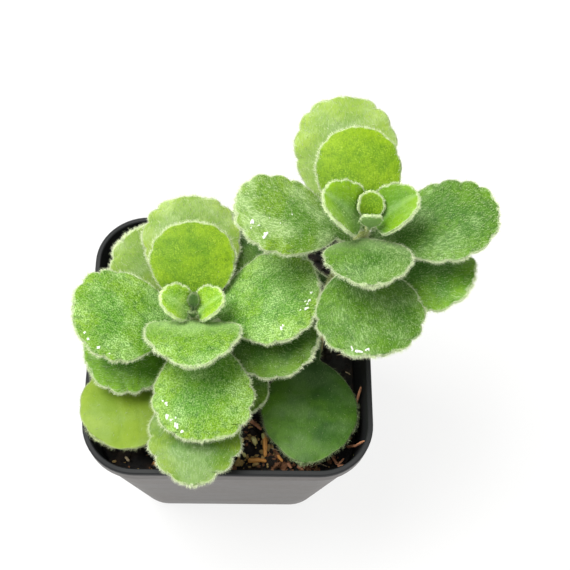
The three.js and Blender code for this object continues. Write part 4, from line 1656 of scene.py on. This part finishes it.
def lay_flecks(leaves: Sequence[Leaf]) -> None:
    """Lays flecks of white residue and tiny pale dots on the upper leaves, flat on their faces.

    Args:
        leaves: every leaf of the plant.
    """
    bare = (LeafTone.SHADED, LeafTone.SMOOTH, LeafTone.DARK, LeafTone.DEEP)
    draw = random.Random(31)
    flecks = bmesh.new()
    for leaf in leaves:
        if leaf.tone in bare or leaf.width < SMALLEST_FLECKED:
            continue
        spots = list(RESIDUE.get(leaf.name, ()))
        for _ in range(DOTS):
            spots.append((draw.uniform(0.35, 0.92), draw.uniform(-0.8, 0.8), DOT_RADIUS, DOT_RADIUS))
        for share, across, wide, tall in spots:
            middle, up, ahead = leaf.spot(share, across)
            over = ahead.cross(up).normalized()
            turn = Matrix((over, up.cross(over), up)).transposed().to_4x4()
            for k in range(1 if wide <= DOT_RADIUS else LUMPS):
                lump = Matrix.Diagonal((wide, tall, min(wide, tall), 1.0)) @ Matrix.Diagonal(
                    (draw.uniform(0.35, 0.7), draw.uniform(0.35, 0.7), 0.35, 1.0)
                )
                shift = over * (draw.uniform(-0.8, 0.8) * wide * (k > 0))
                shift += ahead * (draw.uniform(-0.8, 0.8) * tall * (k > 0))
                put = Matrix.Translation((middle + shift + up * 0.06) * MM) @ turn @ lump
                bmesh.ops.create_icosphere(flecks, subdivisions=1, radius=MM, matrix=put)
    finish_piece(flecks, "leaf_flecks", Grit.FLECK.material())


def dress_soil(soil: Soil) -> None:
    """Lays the loose bits on the soil.

    The crumbs are drawn at random. The grains, splinters, twigs and fibres lie where the photograph shows
    them, by way of a scratch program that took places in the picture to places on the soil.

    Args:
        soil: the soil in the pot.
    """
    soil.scatter(Grit.PEAT, "peat_crumbs", 900, (0.35, 1.5), 11, lambda x, y: True)
    soil.scatter(Grit.BROWN, "brown_crumbs", 200, (0.3, 1.1), 12, lambda x, y: y < -8)
    soil.scatter(Grit.TAN, "tan_crumbs", 85, (0.3, 1.2), 13, lambda x, y: 0 < x < 11 and -29 < y < -17)
    soil.scatter(Grit.TAN, "tan_grit", 45, (0.2, 0.6), 14, lambda x, y: y < -26 or (x > 29 and y < -5))
    soil.scatter(Grit.BROWN, "bark_crumbs", 60, (0.5, 1.3), 16, lambda x, y: 10 < x < 22 and y < -25)
    soil.lay_sticks(Grit.PALE, "pale_grains", [
        (((5.9, -23.2, 1.4), (7.0, -22.7, 1.6)), 1.25),
        (((8.2, -22.0, 1.8), (9.0, -21.8, 1.8)), 0.95),
        (((3.0, -23.0, 1.1), (3.7, -22.5, 1.3)), 0.75),
        (((3.6, -26.7, 1.0), (4.3, -26.3, 1.2)), 0.75),
        (((31.0, -26.4, 0.6), (31.3, -26.3, 0.8)), 0.3),
    ], 15)
    soil.lay_sticks(Grit.BARK, "bark", [
        (((9.0, -21.8, 1.6), (9.1, -24.6, 1.9), (9.1, -27.1, 1.5)), 0.75),
        (((4.9, -28.1, 1.2), (7.1, -28.0, 1.6), (9.4, -28.1, 1.2)), 0.68),
        (((12.0, -26.2, 1.0), (13.4, -28.2, 1.3)), 0.5),
        (((-18.2, -28.4, 0.8), (-17.4, -29.6, 1.2)), 0.55),
    ], 21)
    soil.lay_sticks(Grit.TWIG, "twigs", [
        (((31.4, -15.6, 1.0), (31.9, -13.4, 4.5), (32.6, -11.2, 8.6)), 0.42),
        (((29.4, -24.2, 1.2), (31.2, -25.2, 5.0), (32.7, -25.9, 10.4)), 0.42),
        (((25.7, -27.0, 1.3), (27.0, -29.0, 1.4), (28.6, -27.3, 1.4)), 0.36),
        (((27.0, -29.2, 1.2), (28.6, -28.9, 1.2)), 0.32),
        (((14.8, -28.5, 0.8), (15.6, -29.8, 1.0)), 0.45),
        (((17.0, -29.2, 0.8), (18.6, -30.2, 1.0)), 0.42),
        (((5.0, -17.4, 1.2), (6.8, -18.9, 2.0), (8.2, -20.2, 1.8)), 0.6),
        (((2.4, -24.6, 1.0), (3.4, -26.2, 1.2)), 0.55),
    ], 22)
    soil.lay_sticks(Grit.FIBRE, "fibres", [
        (((27.6, 0.9, 0.6), (28.7, 0.8, 1.4), (29.7, 0.1, 1.8), (31.0, -0.5, 1.4)), 0.13),
        (((29.6, -3.8, 0.6), (30.3, -4.4, 1.2), (30.8, -4.7, 1.0)), 0.16),
        (((30.9, -20.8, 0.6), (31.0, -18.4, 1.4), (30.7, -16.6, 0.8)), 0.2),
        (((10.6, -24.6, 0.8), (12.2, -25.4, 1.4), (13.9, -25.2, 0.9)), 0.14),
        (((20.2, -29.3, 0.4), (22.6, -28.5, 1.0), (24.4, -29.1, 0.6)), 0.16),
        (((-25.2, -27.3, 0.8), (-24.2, -28.5, 1.2)), 0.4),
    ], 23)


def main() -> None:
    """Builds the plant, its pot and the studio, and reports each piece."""
    logging.basicConfig(level=logging.INFO, format="%(message)s")
    stems = shoots()
    leaves = foliage(stems)
    down = HairGrower("down", thickness=0.042, spread=0.7, tufts=0.3)
    fringe = HairGrower("fringe", thickness=0.024, spread=0.75, tufts=0.3)
    pot = Pot()
    pot.build(PotFinish())
    soil = Soil(pot, list(stems.values()))
    soil.build(SoilFinish())
    dress_soil(soil)
    for stem in stems.values():
        stem.build(StemFinish(), down)
    for leaf in leaves:
        leaf.build(down, fringe)
    lay_flecks(leaves)
    Studio().build()


if __name__ == "__main__":
    main()
